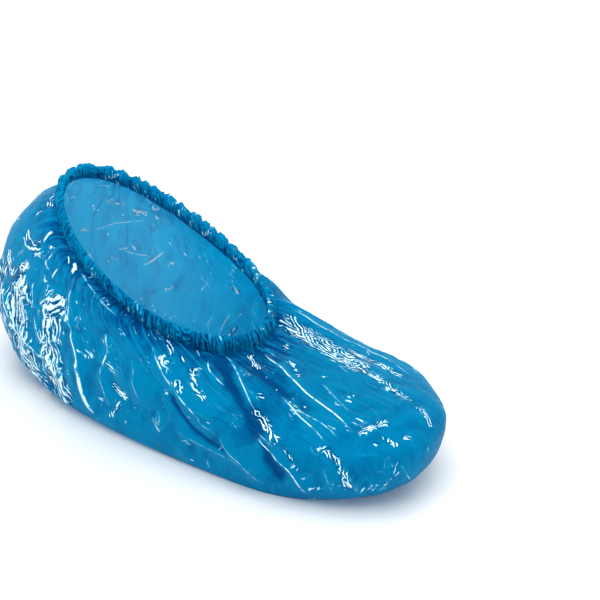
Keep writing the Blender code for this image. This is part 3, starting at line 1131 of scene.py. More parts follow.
@dataclass(frozen=True)
class Crush:
    """The crushed film: its heights, how crushed it is, and a chart of it.

    The chart's first axis runs across the folds and its second axis along them.
    """

    heights: np.ndarray
    fine: np.ndarray
    coarse: np.ndarray
    chart: np.ndarray


@dataclass(frozen=True)
class Gathers:
    """The gathers that hang down the film from the hem: higher, and more of them long, at the front."""

    count: int = 60
    stray: float = 0.4
    height: float = 1.0
    heights: tuple[float, float] = (0.5, 1.2)
    front: Swelling = Swelling(-35.0, 60.0)
    front_height: float = 1.1
    long_share: float = 0.25
    front_long_share: float = 0.5
    long: tuple[float, float] = (22.0, 55.0)
    short: tuple[float, float] = (9.0, 20.0)
    lean: float = 0.12
    width: float = 0.9
    widening: float = 0.05
    crest_power: float = 1.3
    trough: float = 0.45
    trough_width: float = 2.2
    start: Fade = Fade(4.0, 5.0)
    end_power: float = 1.6


@dataclass(frozen=True)
class HungPleats:
    """The hem's pleats as they run out below it: how high, how far down and how much less at the back."""

    height: float = 0.8
    whole_to: float = 7.5
    fade: float = 6.0
    power: float = 1.3
    front: Swelling = Swelling(-25.0, 65.0)
    back_share: float = 0.4
    front_share: float = 0.6

    def heights(self, angles: np.ndarray, turns: np.ndarray, below: np.ndarray) -> np.ndarray:
        """Work out the pleats over the film.

        Args:
            angles: The columns' angles in radians.
            turns: The columns' shares of the way round.
            below: Millimetres down the film from its top.

        Returns:
            Heights in millimetres.
        """
        fade = np.exp(-((np.maximum(below - self.whole_to, 0.0) / self.fade) ** self.power))
        share = self.back_share + self.front_share * self.front.at(angles)[None, :]
        return self.height * share * PLEATING.wave(turns)[None, :] * fade


# The finish paints this as deeper blue: partly for the drawn-up layers of film, partly as painted shade.
@dataclass(frozen=True)
class DrawnLayersAndShade:
    """How tightly the film is drawn up under the hem: most, and furthest down, at the front."""

    most: float = 1.7
    slack: float = 0.9
    slack_turn: float = 60.0
    slack_start: float = 0.5
    slack_swing: float = 0.9
    front: Swelling = Swelling(-32.0, 46.0)
    front_more: float = 0.5
    length: float = 20.0
    front_length: float = 9.0

    def strength(self, angles: np.ndarray, below: np.ndarray) -> np.ndarray:
        """Work out the draw over the film.

        Args:
            angles: The columns' angles in radians.
            below: Millimetres down the film from its top.

        Returns:
            How tightly each point is drawn, where 0 is not at all.
        """
        front = self.front.at(angles)
        swing = self.slack_swing * np.cos(angles + math.radians(self.slack_turn))
        tight = self.most - self.slack * eased(self.slack_start - swing) + self.front_more * front
        length = self.length + self.front_length * front
        return tight[None, :] * np.exp(-((below / length[None, :]) ** 2.0))


@dataclass(frozen=True)
class PaintedSheenWalls:
    """Where a painted sheen makes the film paler: its left and back walls."""

    centre: float = 152.0
    sides: Fade = Fade(60.0, -34.0)
    top: Fade = Fade(0.9, 0.8)
    bottom: Fade = Fade(4.4, -0.8)

    def strength(self, angles: np.ndarray, levels: np.ndarray) -> np.ndarray:
        """Return how strong the painted sheen is at each level and angle, from 0 to 1."""
        around = self.sides.at(np.abs(turned(angles, self.centre)))[None, :]
        return around * self.top.at(levels[:, None]) * self.bottom.at(levels[:, None])


# What is stored as the distance from a crest line where none is near.
FAR_OFF = 99.0


@dataclass
class FilmBody:
    """The cover's upper and sole: one thin film, crumpled, creased and open at the top.

    Each entry of waves is a crumple and its height. Each entry of foot_strays is a number of steps round
    the hem and the share of foot_stray that the hem's foot wanders by from one to the next.
    """

    columns: int = 640
    side_rows: int = 142
    sole_rows: int = 9
    gathers: Gathers = Gathers()
    pleats: HungPleats = HungPleats()
    drawn_layers_and_shade: DrawnLayersAndShade = DrawnLayersAndShade()
    painted_sheen_walls: PaintedSheenWalls = PaintedSheenWalls()
    crease_form: CreaseForm = CreaseForm()
    crumple_form: CrumpleForm = CrumpleForm()
    waves: tuple[tuple[Facets, float], ...] = (
        (Facets((34.0, 30.0, 34.0), 71), 1.0),
        (Facets((15.0, 14.0, 17.0), 72), 0.45),
        (Facets((7.0, 6.5, 10.0), 74), 0.2),
    )
    fold_start: Fade = Fade(5.0, 7.0)
    fold_end: Fade = Fade(4.1, 0.6)
    crease_shade: float = 0.27
    sole_facets: Facets = Facets((16.0, 16.0, 16.0), 73)
    sole_start: Fade = Fade(4.8, 0.4)
    sole_lift: float = 0.25
    sole_wave: float = 0.5
    grain_radius: float = 112.0
    girth: float = 700.0
    foot_drop: float = 5.8
    ankle_drop: float = 3.7
    foot_stray: float = 2.0
    foot_strays: tuple[tuple[int, float], ...] = ((30, 1.0), (110, 0.7), (260, 0.45))
    foot_gap: float = 0.2
    seed: int = 5
    angles: np.ndarray = field(default_factory=lambda: np.zeros(0), init=False)
    turns: np.ndarray = field(default_factory=lambda: np.zeros(0), init=False)
    levels: np.ndarray = field(default_factory=lambda: np.zeros(0), init=False)
    shape: np.ndarray = field(default_factory=lambda: np.zeros(0), init=False)

    def _controls(self) -> tuple[np.ndarray, np.ndarray]:
        """Work out what draws the smooth form.

        Returns:
            The control rows, and their levels.
        """
        places, _, up = rim_frames(self.angles)
        rows = [places + up * height for height in TUCK_HEIGHTS]
        rows += [ring.points(self.angles) for ring in FILM_RINGS]
        levels = TUCK_LEVELS + tuple(range(1, len(FILM_RINGS) + 1))
        return np.array(rows), np.array(levels, dtype=float)

    def _smooth(self) -> np.ndarray:
        """Work out the smooth film, and set its levels.

        Returns:
            Its grid of points.
        """
        rows, marks = self._controls()
        spans = np.linalg.norm(np.diff(rows, axis=0), axis=-1).mean(axis=1)
        run = np.concatenate(([0.0], np.cumsum(spans)))
        foot = len(marks) - 2
        side = np.interp(np.linspace(0.0, run[foot], self.side_rows), run, marks)
        sole = np.linspace(marks[foot], marks[foot + 1], self.sole_rows + 1)[1:]
        self.levels = np.concatenate((side, sole))
        padded = np.concatenate((2.0 * rows[:1] - rows[1:2], rows, 2.0 * rows[-1:] - rows[-2:-1]))
        grid = []
        for level in self.levels:
            index = min(int(np.searchsorted(marks, level, side="right")) - 1, len(marks) - 2)
            t = (level - marks[index]) / (marks[index + 1] - marks[index])
            grid.append(self._between(padded[index:index + 4], t))
        return np.array(grid)

    @staticmethod
    def _between(rows: np.ndarray, t: float) -> np.ndarray:
        """Work out a row between the second and the third of four rows.

        Args:
            rows: The four rows.
            t: The share of the way from the second to the third.

        Returns:
            The row, on a smooth curve through all four.
        """
        before, start, end, after = rows
        first, middle, last = np.linalg.norm(np.diff(rows, axis=0), axis=-1, keepdims=True) + LEAST_GAP
        leave = (start - before) * (middle / first) + (end - start) * (first / middle)
        leave = leave * middle / (first + middle)
        arrive = (end - start) * (last / middle) + (after - end) * (middle / last)
        arrive = arrive * middle / (middle + last)
        point = start * (2.0 * t ** 3 - 3.0 * t ** 2 + 1.0) + leave * (t ** 3 - 2.0 * t ** 2 + t)
        return point + end * (3.0 * t ** 2 - 2.0 * t ** 3) + arrive * (t ** 3 - t ** 2)

    @staticmethod
    def _normals(grid: np.ndarray) -> np.ndarray:
        """Return the ways out of a grid of points."""
        across = np.roll(grid, -1, axis=1) - np.roll(grid, 1, axis=1)
        return unit(np.cross(np.gradient(grid, axis=0), across))

    @staticmethod
    def _below(grid: np.ndarray) -> np.ndarray:
        """Return how many millimetres down the film from its top each point of a grid lies."""
        drops = np.linalg.norm(np.diff(grid, axis=0), axis=-1)
        return np.concatenate((np.zeros((1, grid.shape[1])), np.cumsum(drops, axis=0)))

    def _trace(self, course: Course, grid: np.ndarray) -> np.ndarray:
        """Lay a course on the smooth film.

        Args:
            course: The course.
            grid: The smooth film's points.

        Returns:
            Points along the course, a millimetre or so apart.
        """
        marks = course.traced()
        rows = np.interp(marks[:, 1], self.levels, np.arange(len(self.levels)))
        around = np.append(self.angles, self.angles[0] + FULL_TURN)
        columns = np.interp(np.radians(marks[:, 0]) % FULL_TURN, around, np.arange(len(around)))
        row, column = np.floor(rows).astype(int), np.floor(columns).astype(int)
        down, across = (rows - row)[:, None], (columns - column)[:, None]
        next_row, next_column = np.minimum(row + 1, len(self.levels) - 1), (column + 1) % self.columns
        column = column % self.columns
        upper = grid[row, column] * (1.0 - across) + grid[row, next_column] * across
        lower = grid[next_row, column] * (1.0 - across) + grid[next_row, next_column] * across
        points = upper * (1.0 - down) + lower * down
        run = np.concatenate(([0.0], np.cumsum(np.linalg.norm(np.diff(points, axis=0), axis=1))))
        even = np.linspace(0.0, run[-1], max(int(run[-1]), 4))
        return np.stack([np.interp(even, run, points[:, axis]) for axis in range(3)], axis=-1)

    def _about(self, course: Course, grid: np.ndarray, normals: np.ndarray, reach: float) -> Surroundings:
        """Measure the film's points that lie about a course.

        Args:
            course: The course.
            grid: The smooth film's points.
            normals: The film's ways out.
            reach: How far from the course to look, in millimetres.

        Returns:
            Which points lie about the course, and where they lie from it.
        """
        trace = self._trace(course, grid)
        flat = grid.reshape(-1, 3)
        inside = (flat > trace.min(axis=0) - reach) & (flat < trace.max(axis=0) + reach)
        index = np.flatnonzero(inside.all(axis=1))
        gaps = flat[index, None, :] - trace[None, :, :]
        spans = np.einsum("ijk,ijk->ij", gaps, gaps)
        nearest = spans.argmin(axis=1)
        close = spans[np.arange(len(index)), nearest] < reach * reach
        index, nearest = index[close], nearest[close]
        gap = flat[index] - trace[nearest]
        along = unit(np.gradient(trace, axis=0))[nearest]
        ahead = np.einsum("ij,ij->i", gap, along)
        across = np.einsum("ij,ij->i", gap, unit(np.cross(normals.reshape(-1, 3)[index], along)))
        past = np.where((nearest == 0) | (nearest == len(trace) - 1), ahead, 0.0)
        step = np.linalg.norm(trace[1] - trace[0])
        run = nearest * step + ahead
        offset = np.where(across < 0.0, -1.0, 1.0) * np.hypot(across, past)
        LOG.debug("%s: %d points", course.name, len(index))
        return Surroundings(index, offset, run, np.clip(run / (step * (len(trace) - 1)), 0.0, 1.0))

    def _creases(self, grid: np.ndarray, normals: np.ndarray) -> tuple[np.ndarray, np.ndarray, np.ndarray]:
        """Work out the long creases over the grid.

        Args:
            grid: The smooth film's points.
            normals: The film's ways out.

        Returns:
            Heights, distances from the nearest crest line in its own widths, and how sharp that line is.
        """
        shape = grid.shape[:2]
        total, sharp_map = np.zeros(shape), np.zeros(shape).ravel()
        offset_map = np.full(total.size, FAR_OFF)
        for crease in CREASES:
            near = self._about(crease, grid, normals, crease.half_width * self.crease_form.reach)
            height, offset, sharp = self.crease_form.profile(crease, near)
            total.ravel()[near.index] += height
            closer = sharp > sharp_map[near.index]
            offset_map[near.index] = np.where(closer, offset, offset_map[near.index])
            sharp_map[near.index] = np.where(closer, sharp, sharp_map[near.index])
        return total, offset_map.reshape(shape), sharp_map.reshape(shape)

    def _gathers(self, grid: np.ndarray, below: np.ndarray) -> np.ndarray:
        """Work out the gathers that hang from the hem.

        Args:
            grid: The smooth film's points.
            below: Millimetres down the film from its top, over the grid.

        Returns:
            Heights in millimetres, over the grid.
        """
        step = np.linalg.norm(np.roll(grid, -1, axis=1) - np.roll(grid, 1, axis=1), axis=-1)
        turn = np.degrees(np.roll(self.angles, -1) - np.roll(self.angles, 1)) % 360.0
        per_degree = step / turn[None, :]
        form, draw = self.gathers, np.random.default_rng(self.seed)
        total = np.zeros(below.shape)
        turns = (np.arange(form.count) + draw.uniform(-form.stray, form.stray, form.count)) / form.count
        for centre in np.degrees(np.interp(turns % 1.0, self.turns, self.angles)):
            front = form.front.at(math.radians(centre))
            long = draw.random() < form.long_share + form.front_long_share * front
            length = draw.uniform(*(form.long if long else form.short))
            height = form.height * draw.uniform(*form.heights) * (1.0 + form.front_height * front)
            lean = draw.uniform(-form.lean, form.lean)
            offset = turned(self.angles[None, :], centre) * per_degree - lean * below
            width = form.width + form.widening * below
            bell = np.exp(-(np.abs(offset / width) ** form.crest_power))
            bell = bell - form.trough * np.exp(-((offset / width / form.trough_width) ** 2))
            total += height * bell * np.exp(-((below / length) ** form.end_power)) * form.start.at(below)
        return total

    def _crumples(self, grid: np.ndarray, normals: np.ndarray, below: np.ndarray) -> Crush:
        """Work out the crushed bands over the grid.

        Args:
            grid: The smooth film's points.
            normals: The film's ways out.
            below: Millimetres down the film from its top, over the grid.

        Returns:
            The crushed film's heights, how crushed it is, and a chart for its folds.
        """
        form, flat = self.crumple_form, grid.reshape(-1, 3)
        heights, fine, coarse = (np.zeros(below.size) for _ in range(3))
        around = np.broadcast_to(self.turns[None, :] * self.girth, below.shape)
        chart = np.stack([around.ravel(), below.ravel(), np.zeros(below.size)], axis=-1)
        for number, band in enumerate(CRUMPLES, start=1):
            near = self._about(band, grid, normals, band.half_width * form.reach)
            mask = form.mask(band, near)
            heights[near.index] += band.height * mask * band.facets.heights(flat[near.index])
            rival = np.maximum(fine, coarse)[near.index] + form.margin
            first = mask * max(band.fine, band.coarse) > rival
            own = np.stack([near.offset, near.run, np.full(mask.shape, number * form.chart_step)], axis=-1)
            chart[near.index[first]] = own[first]
            fine[near.index] = np.maximum(fine[near.index], mask * band.fine)
            coarse[near.index] = np.maximum(coarse[near.index], mask * band.coarse)
        return Crush(*(values.reshape(below.shape) for values in (heights, fine, coarse)), chart)

    def build(self) -> bpy.types.Object:
        """Build the film.

        Returns:
            The film's object.
        """
        self.angles = even_angles(self.columns, (RIM, WIDEST_RING))
        self.turns = turns_of(self.angles)
        grid = self._smooth()
        normals, below = self._normals(grid), self._below(grid)
        levels = self.levels[:, None]
        crush = self._crumples(grid, normals, below)
        creases, offsets, sharp = self._creases(grid, normals)
        start = self.fold_start.at(below)
        wave = sum(facets.heights(grid) * height for facets, height in self.waves)
        hung = self._gathers(grid, below) + self.pleats.heights(self.angles, self.turns, below)
        push = (creases + crush.heights + wave) * start + hung
        sole = self.sole_wave * (1.0 + self.sole_facets.heights(grid))
        self.shape = grid + normals * (push * (1.0 - self.fold_end.at(levels)))[..., None]
        floor = self.sole_lift + sole * self.sole_start.at(levels)
        self.shape[..., 2] = np.maximum(self.shape[..., 2], floor)
        fields = {
            "crushed_fine": crush.fine * start,
            "crushed_coarse": crush.coarse * start,
            # How deep the colour is under the hem: for the drawn-up layers of film and as painted shade.
            "gathered": self.drawn_layers_and_shade.strength(self.angles, below),
            "crest_offset": offsets,
            "crest_sharp": sharp * start,
            # Painted shade: the relief less its smoothed self, with the creases, darkens hollows and
            # lightens crests.
            "fold": np.clip(push - self._softened(push) + creases * start * self.crease_shade, -1.0, 1.0),
            # Where the finish paints a sheen: the left and back walls.
            "pale": self.painted_sheen_walls.strength(self.angles, self.levels),
        }
        return self._mesh(fields, {"grain": self._grain(below), "chart": crush.chart})

    def _grain(self, below: np.ndarray) -> np.ndarray:
        """Lay the film out as a tube.

        Args:
            below: Millimetres down the film from its top, over the grid.

        Returns:
            A place on the tube for each point: round it, and down it.
        """
        around = FULL_TURN * self.turns
        circle = np.stack([np.cos(around), np.sin(around), np.zeros(self.columns)], axis=-1)
        grain = np.tile(circle * self.grain_radius, (len(self.levels), 1))
        grain[:, 2] = below.ravel()
        return grain

    def hem_lines(self) -> np.ndarray:
        """Work out two lines round the built film, just off it, for the hem to run out along.

        Returns:
            The points of the hem's foot, then those of its ankle above.
        """
        below = self._below(self.shape)
        raised = self.shape + self._normals(self.shape) * self.foot_gap
        random = np.random.default_rng(self.seed + 1)
        stray = np.zeros(self.columns)
        for count, reach in self.foot_strays:
            steps = random.uniform(-1.0, 1.0, count)
            places = np.arange(count + 1) / count
            stray += np.interp(self.turns, places, np.append(steps, steps[0])) * reach * self.foot_stray
        turns = np.append(self.turns, 1.0 + self.turns[0])
        even = np.arange(self.columns * 2) / (self.columns * 2)
        lines = []
        for drop in (self.foot_drop, self.ankle_drop):
            line = np.zeros((self.columns + 1, 3))
            for column, axis in np.ndindex(self.columns, 3):
                depth = drop + stray[column]
                line[column, axis] = np.interp(depth, below[:, column], raised[:, column, axis])
            line[-1] = line[0]
            lines.append(np.stack([np.interp(even, turns, line[:, axis]) for axis in range(3)], axis=-1))
        return np.concatenate(lines)

    @staticmethod
    def _softened(
        heights: np.ndarray, times: int = 14, own: float = 0.2, beside: float = 0.25, above: float = 0.15
    ) -> np.ndarray:
        """Smooth away the small folds in some heights.

        Args:
            heights: Heights over the grid.
            times: How often each height is mixed with its neighbours.
            own: The share that a height keeps.
            beside: The share that it takes from each side.
            above: The share that it takes from above and from below.

        Returns:
            The softer heights.
        """
        soft = heights.copy()
        for _ in range(times):
            sides = np.roll(soft, 1, axis=1) + np.roll(soft, -1, axis=1)
            rows = np.concatenate((soft[:1], soft[:-1])) + np.concatenate((soft[1:], soft[-1:]))
            soft = soft * own + sides * beside + rows * above
        return soft

    def _mesh(self, fields: dict[str, np.ndarray], charts: dict[str, np.ndarray]) -> bpy.types.Object:
        """Make the film's mesh.

        Args:
            fields: Numbers that its finish reads, over the grid.
            charts: Places in millimetres that its finish reads, one row for each point of the grid.

        Returns:
            The film's object.
        """
        rows, columns = self.shape.shape[:2]
        centre = self.shape[-1].mean(axis=0)
        points = np.concatenate((self.shape.reshape(-1, 3), centre[None, :])) * MM
        index = np.arange(rows * columns).reshape(rows, columns)
        after = np.roll(index, -1, axis=1)
        quads = np.stack((index[:-1], index[1:], after[1:], after[:-1]), axis=-1).reshape(-1, 4)
        fans = [(int(index[-1, i]), rows * columns, int(after[-1, i])) for i in range(columns)]
        data = bpy.data.meshes.new("film_sheet")
        data.from_pydata(points.tolist(), [], quads.tolist() + fans)
        data.shade_smooth()
        for name, values in fields.items():
            layer = data.attributes.new(name, "FLOAT", "POINT")
            layer.data.foreach_set("value", np.append(values.ravel(), 0.0).astype(np.float32))
        for name, values in charts.items():
            layer = data.attributes.new(name, "FLOAT_VECTOR", "POINT")
            values = np.append(values.ravel() * MM, (0.0, 0.0, 0.0))
            layer.data.foreach_set("vector", values.astype(np.float32))
        return placed("film_sheet", data)

    @staticmethod
    def dress(film: bpy.types.Object, finish: FilmFinish) -> None:
        """Give the film its finish and tell the frame what it is.

        Args:
            film: The film's object.
            finish: What the film is made of.
        """
        film.data.materials.append(finish.material())
        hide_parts("film_body")
        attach(film, "root")


# Added to a whole index, so that the fraction cut from it can't take the one before.
ROUNDING = 0.1


def grown(name: str, tree: bpy.types.NodeTree, sizes: dict[str, object]) -> bpy.types.Object:
    """Run a geometry tree and keep its result as a plain mesh.

    Args:
        name: The finished object's name.
        tree: The geometry tree.
        sizes: Values for the tree's named inputs.

    Returns:
        The finished object, without the modifier.
    """
    seed = placed(name + "_seed", bpy.data.meshes.new(name + "_seed"))
    modifier = seed.modifiers.new("grow", "NODES")
    modifier.node_group = tree
    for item in tree.interface.items_tree:
        if item.item_type == "SOCKET" and item.in_out == "INPUT":
            modifier[item.identifier] = sizes[item.name]
    view = bpy.context.evaluated_depsgraph_get()
    data = bpy.data.meshes.new_from_object(seed.evaluated_get(view))
    data.name = name
    bpy.data.objects.remove(seed, do_unlink=True)
    data.materials.pop(index=0)
    return placed(name, data)


@dataclass(frozen=True)
class Strip:
    """The grid that becomes the hem, as the tree sees it.

    Size holds the tree's named inputs and turn the share of the way round. Side goes from 1 at the foot on
    the film, over 0 on the crown, to -1 at the inner edge, and rise is 0 at both edges and 1 on the crown.
    """

    bench: Bench
    size: dict[str, Signal]
    turn: Signal
    share: Signal
    side: Signal
    rise: Signal


@dataclass(frozen=True)
class Ruffle:
    """The hem's folds over the strip: noises about 0, pleats, lobes and tucks, and how full it is."""

    plump: Signal
    rough: Signal
    fine: Signal
    wave: Signal
    puff: Signal
    bulk: Signal
    tucks: Signal
    crinkle: Signal
    body: Signal


@dataclass
class GatheredHem:
    """The hem: film folded over the elastic, drawn up in lobes and pleats, and run out onto the film.

    It is plump on the wearer's left and at the heel, and drawn flatter on the right and at the toe.
    """

    around: int = 1800
    across: int = 33
    inner_low: float = -6.6
    crown: float = 5.2
    crown_least: float = 3.7
    inner_gap: float = 0.2
    belly: float = 1.6
    puff: float = 1.9
    pleat_depth: float = 0.85
    knee_out: float = 3.3
    knee_up: float = 2.6
    tucks: int = 176
    tuck_height: float = 0.5
    crinkle: float = 2.6
    curve_points: int = 360
    weld: float = 0.01
    plump_ways: tuple[float, float] = (-0.8, -0.45)
    plump_edge: tuple[float, float] = (-0.45, 0.55)
    rough: Noise = Noise(9.0, 3.0)
    fine: Noise = Noise(26.0, 3.0)
    noise_across: float = 0.35
    fine_stretch: tuple[float, float, float] = (1.0, 1.0, 0.5)
    inner_run: float = 1.15
    grain_run: float = 1.8
    grain_start: float = 0.8

    def _path(self) -> bpy.types.Object:
        """Make the hem's middle line.

        Returns:
            A closed curve.
        """
        curve = bpy.data.curves.new("hem_path", "CURVE")
        curve.dimensions = "3D"
        spline = curve.splines.new("POLY")
        spline.points.add(self.curve_points - 1)
        places = RIM.points(even_angles(self.curve_points, (RIM,))) * MM
        for point, place in zip(spline.points, places):
            point.co = (*place, 1.0)
        spline.use_cyclic_u = True
        return placed("hem_path", curve)

    @staticmethod
    def _foot(lines: np.ndarray) -> bpy.types.Object:
        """Return the lines on the film that the hem's outer side runs out along, as loose points."""
        data = bpy.data.meshes.new("hem_foot")
        data.from_pydata((lines * MM).tolist(), [], [])
        return placed("hem_foot", data)

    def _sizes(self, body: FilmBody, path: bpy.types.Object, foot: bpy.types.Object) -> dict[str, object]:
        """Gather the values of the tree's named inputs.

        Args:
            body: The built film.
            path: The hem's middle line.
            foot: The lines on the film.

        Returns:
            A value for each name.
        """
        return {
            "Path": path,
            "Foot": foot,
            "Foot Points": len(foot.data.vertices) // len(HemLine),
            "Around": self.around,
            "Across": self.across,
            "Inner Low": self.inner_low,
            "Crown": self.crown,
            "Crown Least": self.crown_least,
            "Inner Gap": self.inner_gap,
            "Belly": self.belly,
            "Puff": self.puff,
            "Pleat Depth": self.pleat_depth,
            "Knee Out": self.knee_out,
            "Knee Up": self.knee_up,
            "Tucks": self.tucks,
            "Tuck Height": self.tuck_height,
            "Crinkle": self.crinkle,
            "Foot Drop": body.foot_drop,
            "Grain Radius": body.grain_radius,
            "Girth": body.girth,
        }

    def _tree(self, material: bpy.types.Material, sizes: dict[str, object]) -> bpy.types.NodeTree:
        """Build the node tree that pleats a strip along the path.

        Args:
            material: What the strip is made of.
            sizes: Values for the tree's named inputs, which give their names and kinds.

        Returns:
            The tree.
        """
        tree = bpy.data.node_groups.new("pleated_strip", "GeometryNodeTree")
        tree.interface.new_socket("Geometry", in_out="OUTPUT", socket_type="NodeSocketGeometry")
        kinds = {int: "NodeSocketInt", float: "NodeSocketFloat", bpy.types.Object: "NodeSocketObject"}
        for name, value in sizes.items():
            tree.interface.new_socket(name, in_out="INPUT", socket_type=kinds[type(value)])
        bench = Bench(tree)
        entry = bench.add("NodeGroupInput")
        size = {name: entry.twin(name) for name in sizes}
        inputs = {"Vertices X": size["Around"], "Vertices Y": size["Across"]}
        grid = bench.add("GeometryNodeMeshGrid", {}, inputs)
        plan = grid.twin("UV Map")
        turn, share = bench.part(plan, "X"), bench.part(plan, "Y")
        side = share * -2.0 + 1.0
        strip = Strip(bench, size, turn, share, side, 1.0 - abs(side))
        shape, fold, drawn = self._shape(strip)
        stored = grid
        for name, kind, value in (
            ("fold", "FLOAT", fold),
            ("gathered", "FLOAT", drawn),
            *self._charts(strip),
        ):
            settings = {"data_type": kind, "domain": "POINT"}
            inputs = {"Geometry": stored, "Name": name, "Value": value}
            stored = bench.add("GeometryNodeStoreNamedAttribute", settings, inputs)
        moved = bench.add("GeometryNodeSetPosition", {}, {"Geometry": stored, "Position": shape})
        inputs = {"Geometry": moved, "Distance": self.weld * MM}
        closed = bench.add("GeometryNodeMergeByDistance", {}, inputs)
        smooth = bench.add("GeometryNodeSetShadeSmooth", {}, {"Geometry": closed})
        whole = bench.add("GeometryNodeRealizeInstances", {}, {"Geometry": smooth})
        dressed = bench.add("GeometryNodeSetMaterial", {}, {"Geometry": whole, "Material": material})
        bench.add("NodeGroupOutput", {}, {0: dressed})
        return tree

    def _charts(self, strip: Strip) -> tuple[tuple[str, str, Signal], ...]:
        """Lay the hem out as the film below it is laid out, so that the finish runs on over it.

        Args:
            strip: The strip.

        Returns:
            The name, the kind and the value of each attribute to store.
        """
        bench, size = strip.bench, strip.size
        across = strip.side.sign() * (1.0 - strip.rise) * size["Foot Drop"] * self.grain_run
        depth = across - size["Foot Drop"] * self.grain_start
        circle = bench.scaled(self._circle(strip), size["Grain Radius"] * MM)
        grain = bench.vectors("ADD", circle, bench.vector(0.0, 0.0, depth * MM))
        chart = bench.vector(strip.turn * size["Girth"] * MM, depth * MM, 0.0)
        return ("grain", "FLOAT_VECTOR", grain), ("chart", "FLOAT_VECTOR", chart)

    @staticmethod
    def _circle(strip: Strip) -> Signal:
        """Return a place on a circle of radius one at each share of the way round."""
        angle = strip.turn * FULL_TURN
        return strip.bench.vector(angle.cosine(), angle.sine(), 0.0)

    @staticmethod
    def _swung(turn: Signal, swings: tuple[Swing, ...]) -> Signal:
        """Add up some swings.

        Args:
            turn: The share of the way round.
            swings: The swings.

        Returns:
            Their sum.
        """
        total = turn * 0.0
        for swing in swings:
            total = total + ((turn * swing.times + swing.start) * FULL_TURN).sine() * swing.reach
        return total

    @staticmethod
    def _footing(strip: Strip, line: HemLine) -> Signal:
        """Find the place on one of the two lines at each share of the way round.

        Args:
            strip: The strip.
            line: Which line.

        Returns:
            The places.
        """
        bench, count = strip.bench, strip.size["Foot Points"]
        points = bench.add("GeometryNodeObjectInfo", {}, {"Object": strip.size["Foot"]}, "Geometry")
        place = bench.add("GeometryNodeInputPosition")
        number = strip.turn * count
        first = number.whole()
        ends = []
        for step in (0.0, 1.0):
            index = (first + step) % count + count * line.value
            settings = {"data_type": "FLOAT_VECTOR", "domain": "POINT"}
            inputs = {"Geometry": points, "Value": place, "Index": index + ROUNDING}
            ends.append(bench.add("GeometryNodeSampleIndex", settings, inputs))
        part = number - first
        return bench.summed(bench.scaled(ends[0], 1.0 - part), bench.scaled(ends[1], part))

    def _ruffle(self, strip: Strip, tangent: Signal) -> Ruffle:
        """Work out the hem's folds.

        Args:
            strip: The strip.
            tangent: The middle line's own way, which tells left from right.

        Returns:
            The folds.
        """
        bench, size, turn = strip.bench, strip.size, strip.turn
        lengthways, sideways = self.plump_ways
        facing = bench.part(tangent, "X") * lengthways + bench.part(tangent, "Y") * sideways
        plump = facing.ramp(*self.plump_edge)
        sway = bench.vector(0.0, 0.0, strip.share * self.noise_across)
        circle = bench.vectors("ADD", self._circle(strip), sway)
        rough = self.rough.at(bench, circle) - 0.5
        fine = self.fine.at(bench, bench.vectors("MULTIPLY", circle, self.fine_stretch)) - 0.5
        drift = self._swung(turn, PLEATING.swings)
        bunch = self._swung(turn, PLEATING.bunches) + PLEATING.bunch_height
        phase = turn * PLEATING.pleats + drift
        pleats = ((phase + fine * 0.8) * FULL_TURN).sine() * bunch.held(PLEATING.bunch_least, 1.0)
        lobes = turn * PLEATING.scallops + drift * PLEATING.scallop_pull
        puff = abs(((lobes + rough * 0.25) * math.pi).sine()) ** 0.6
        swerve = turn * size["Tucks"] + drift * 2.0 + rough * 4.0 + fine * 1.6
        swerve = swerve + strip.rise * strip.side.sign() * 0.8
        tucking = (rough * 2.4 + fine * 1.6 + 0.7).held() * size["Tuck Height"]
        return Ruffle(
            plump=plump,
            rough=rough,
            fine=fine,
            wave=pleats * (1.0 - plump * 0.6),
            puff=puff,
            bulk=puff * (0.15 + plump * 0.85),
            tucks=(swerve * FULL_TURN).sine() * tucking,
            crinkle=fine * size["Crinkle"],
            body=(strip.rise * math.pi).sine().most(0.0),
        )

    def _shape(self, strip: Strip) -> tuple[Signal, Signal, Signal]:
        """Work out where each point of the strip lies.

        Args:
            strip: The strip.

        Returns:
            The places, how far each point stands out of its folds, read as painted shade in hollows and
            painted light on crests, and how tightly the film is drawn there, read as a deeper colour and
            painted shade.
        """
        bench, size, rise = strip.bench, strip.size, strip.rise
        info = bench.add("GeometryNodeObjectInfo", {}, {"Object": size["Path"]}, "Geometry")
        settings = {"mode": "FACTOR", "data_type": "FLOAT", "use_all_curves": True}
        inputs = {"Curves": info, "Factor": strip.turn}
        place = bench.add("GeometryNodeSampleCurve", settings, inputs, "Position")
        tangent = place.twin("Tangent")
        out, up = self._ways(bench, tangent)
        folds = self._ruffle(strip, tangent)
        plump, rough, body = folds.plump, folds.rough, folds.body
        top_out = size["Pleat Depth"] * folds.wave * 0.6 + folds.bulk * 0.9 + folds.crinkle * 0.5 + 0.2
        top_up = size["Crown"] * (0.80 + folds.bulk * 0.62 + folds.wave * 0.06) + rough * 1.6
        top_up = (top_up + folds.crinkle * 0.7 - plump * 1.8).most(size["Crown Least"])
        crown = self._off(bench, place, (out, top_out), (up, top_up))
        knee_out, knee_up = size["Knee Out"] + plump, size["Knee Up"] + plump
        knee = self._off(bench, place, (out, knee_out + top_out), (up, knee_up))
        ends = [self._footing(strip, line) for line in HemLine]
        sweep, slope = self._swept(bench, rise, (*ends, knee, crown))
        swell = size["Puff"] * folds.bulk + folds.wave * size["Pleat Depth"] * 0.6
        swell = (swell + rough * 2.0 + folds.crinkle * 0.9 + folds.tucks).most(-0.1)
        outward = bench.vectors("NORMALIZE", bench.vectors("CROSS_PRODUCT", tangent, slope))
        outside = bench.summed(sweep, bench.scaled(outward, body * swell * MM))
        low = size["Inner Low"] + rough * 3.0 * (1.0 - plump * 0.5)
        lift = low + (top_up - low) * (rise * (self.inner_run - (self.inner_run - 1.0) * rise))
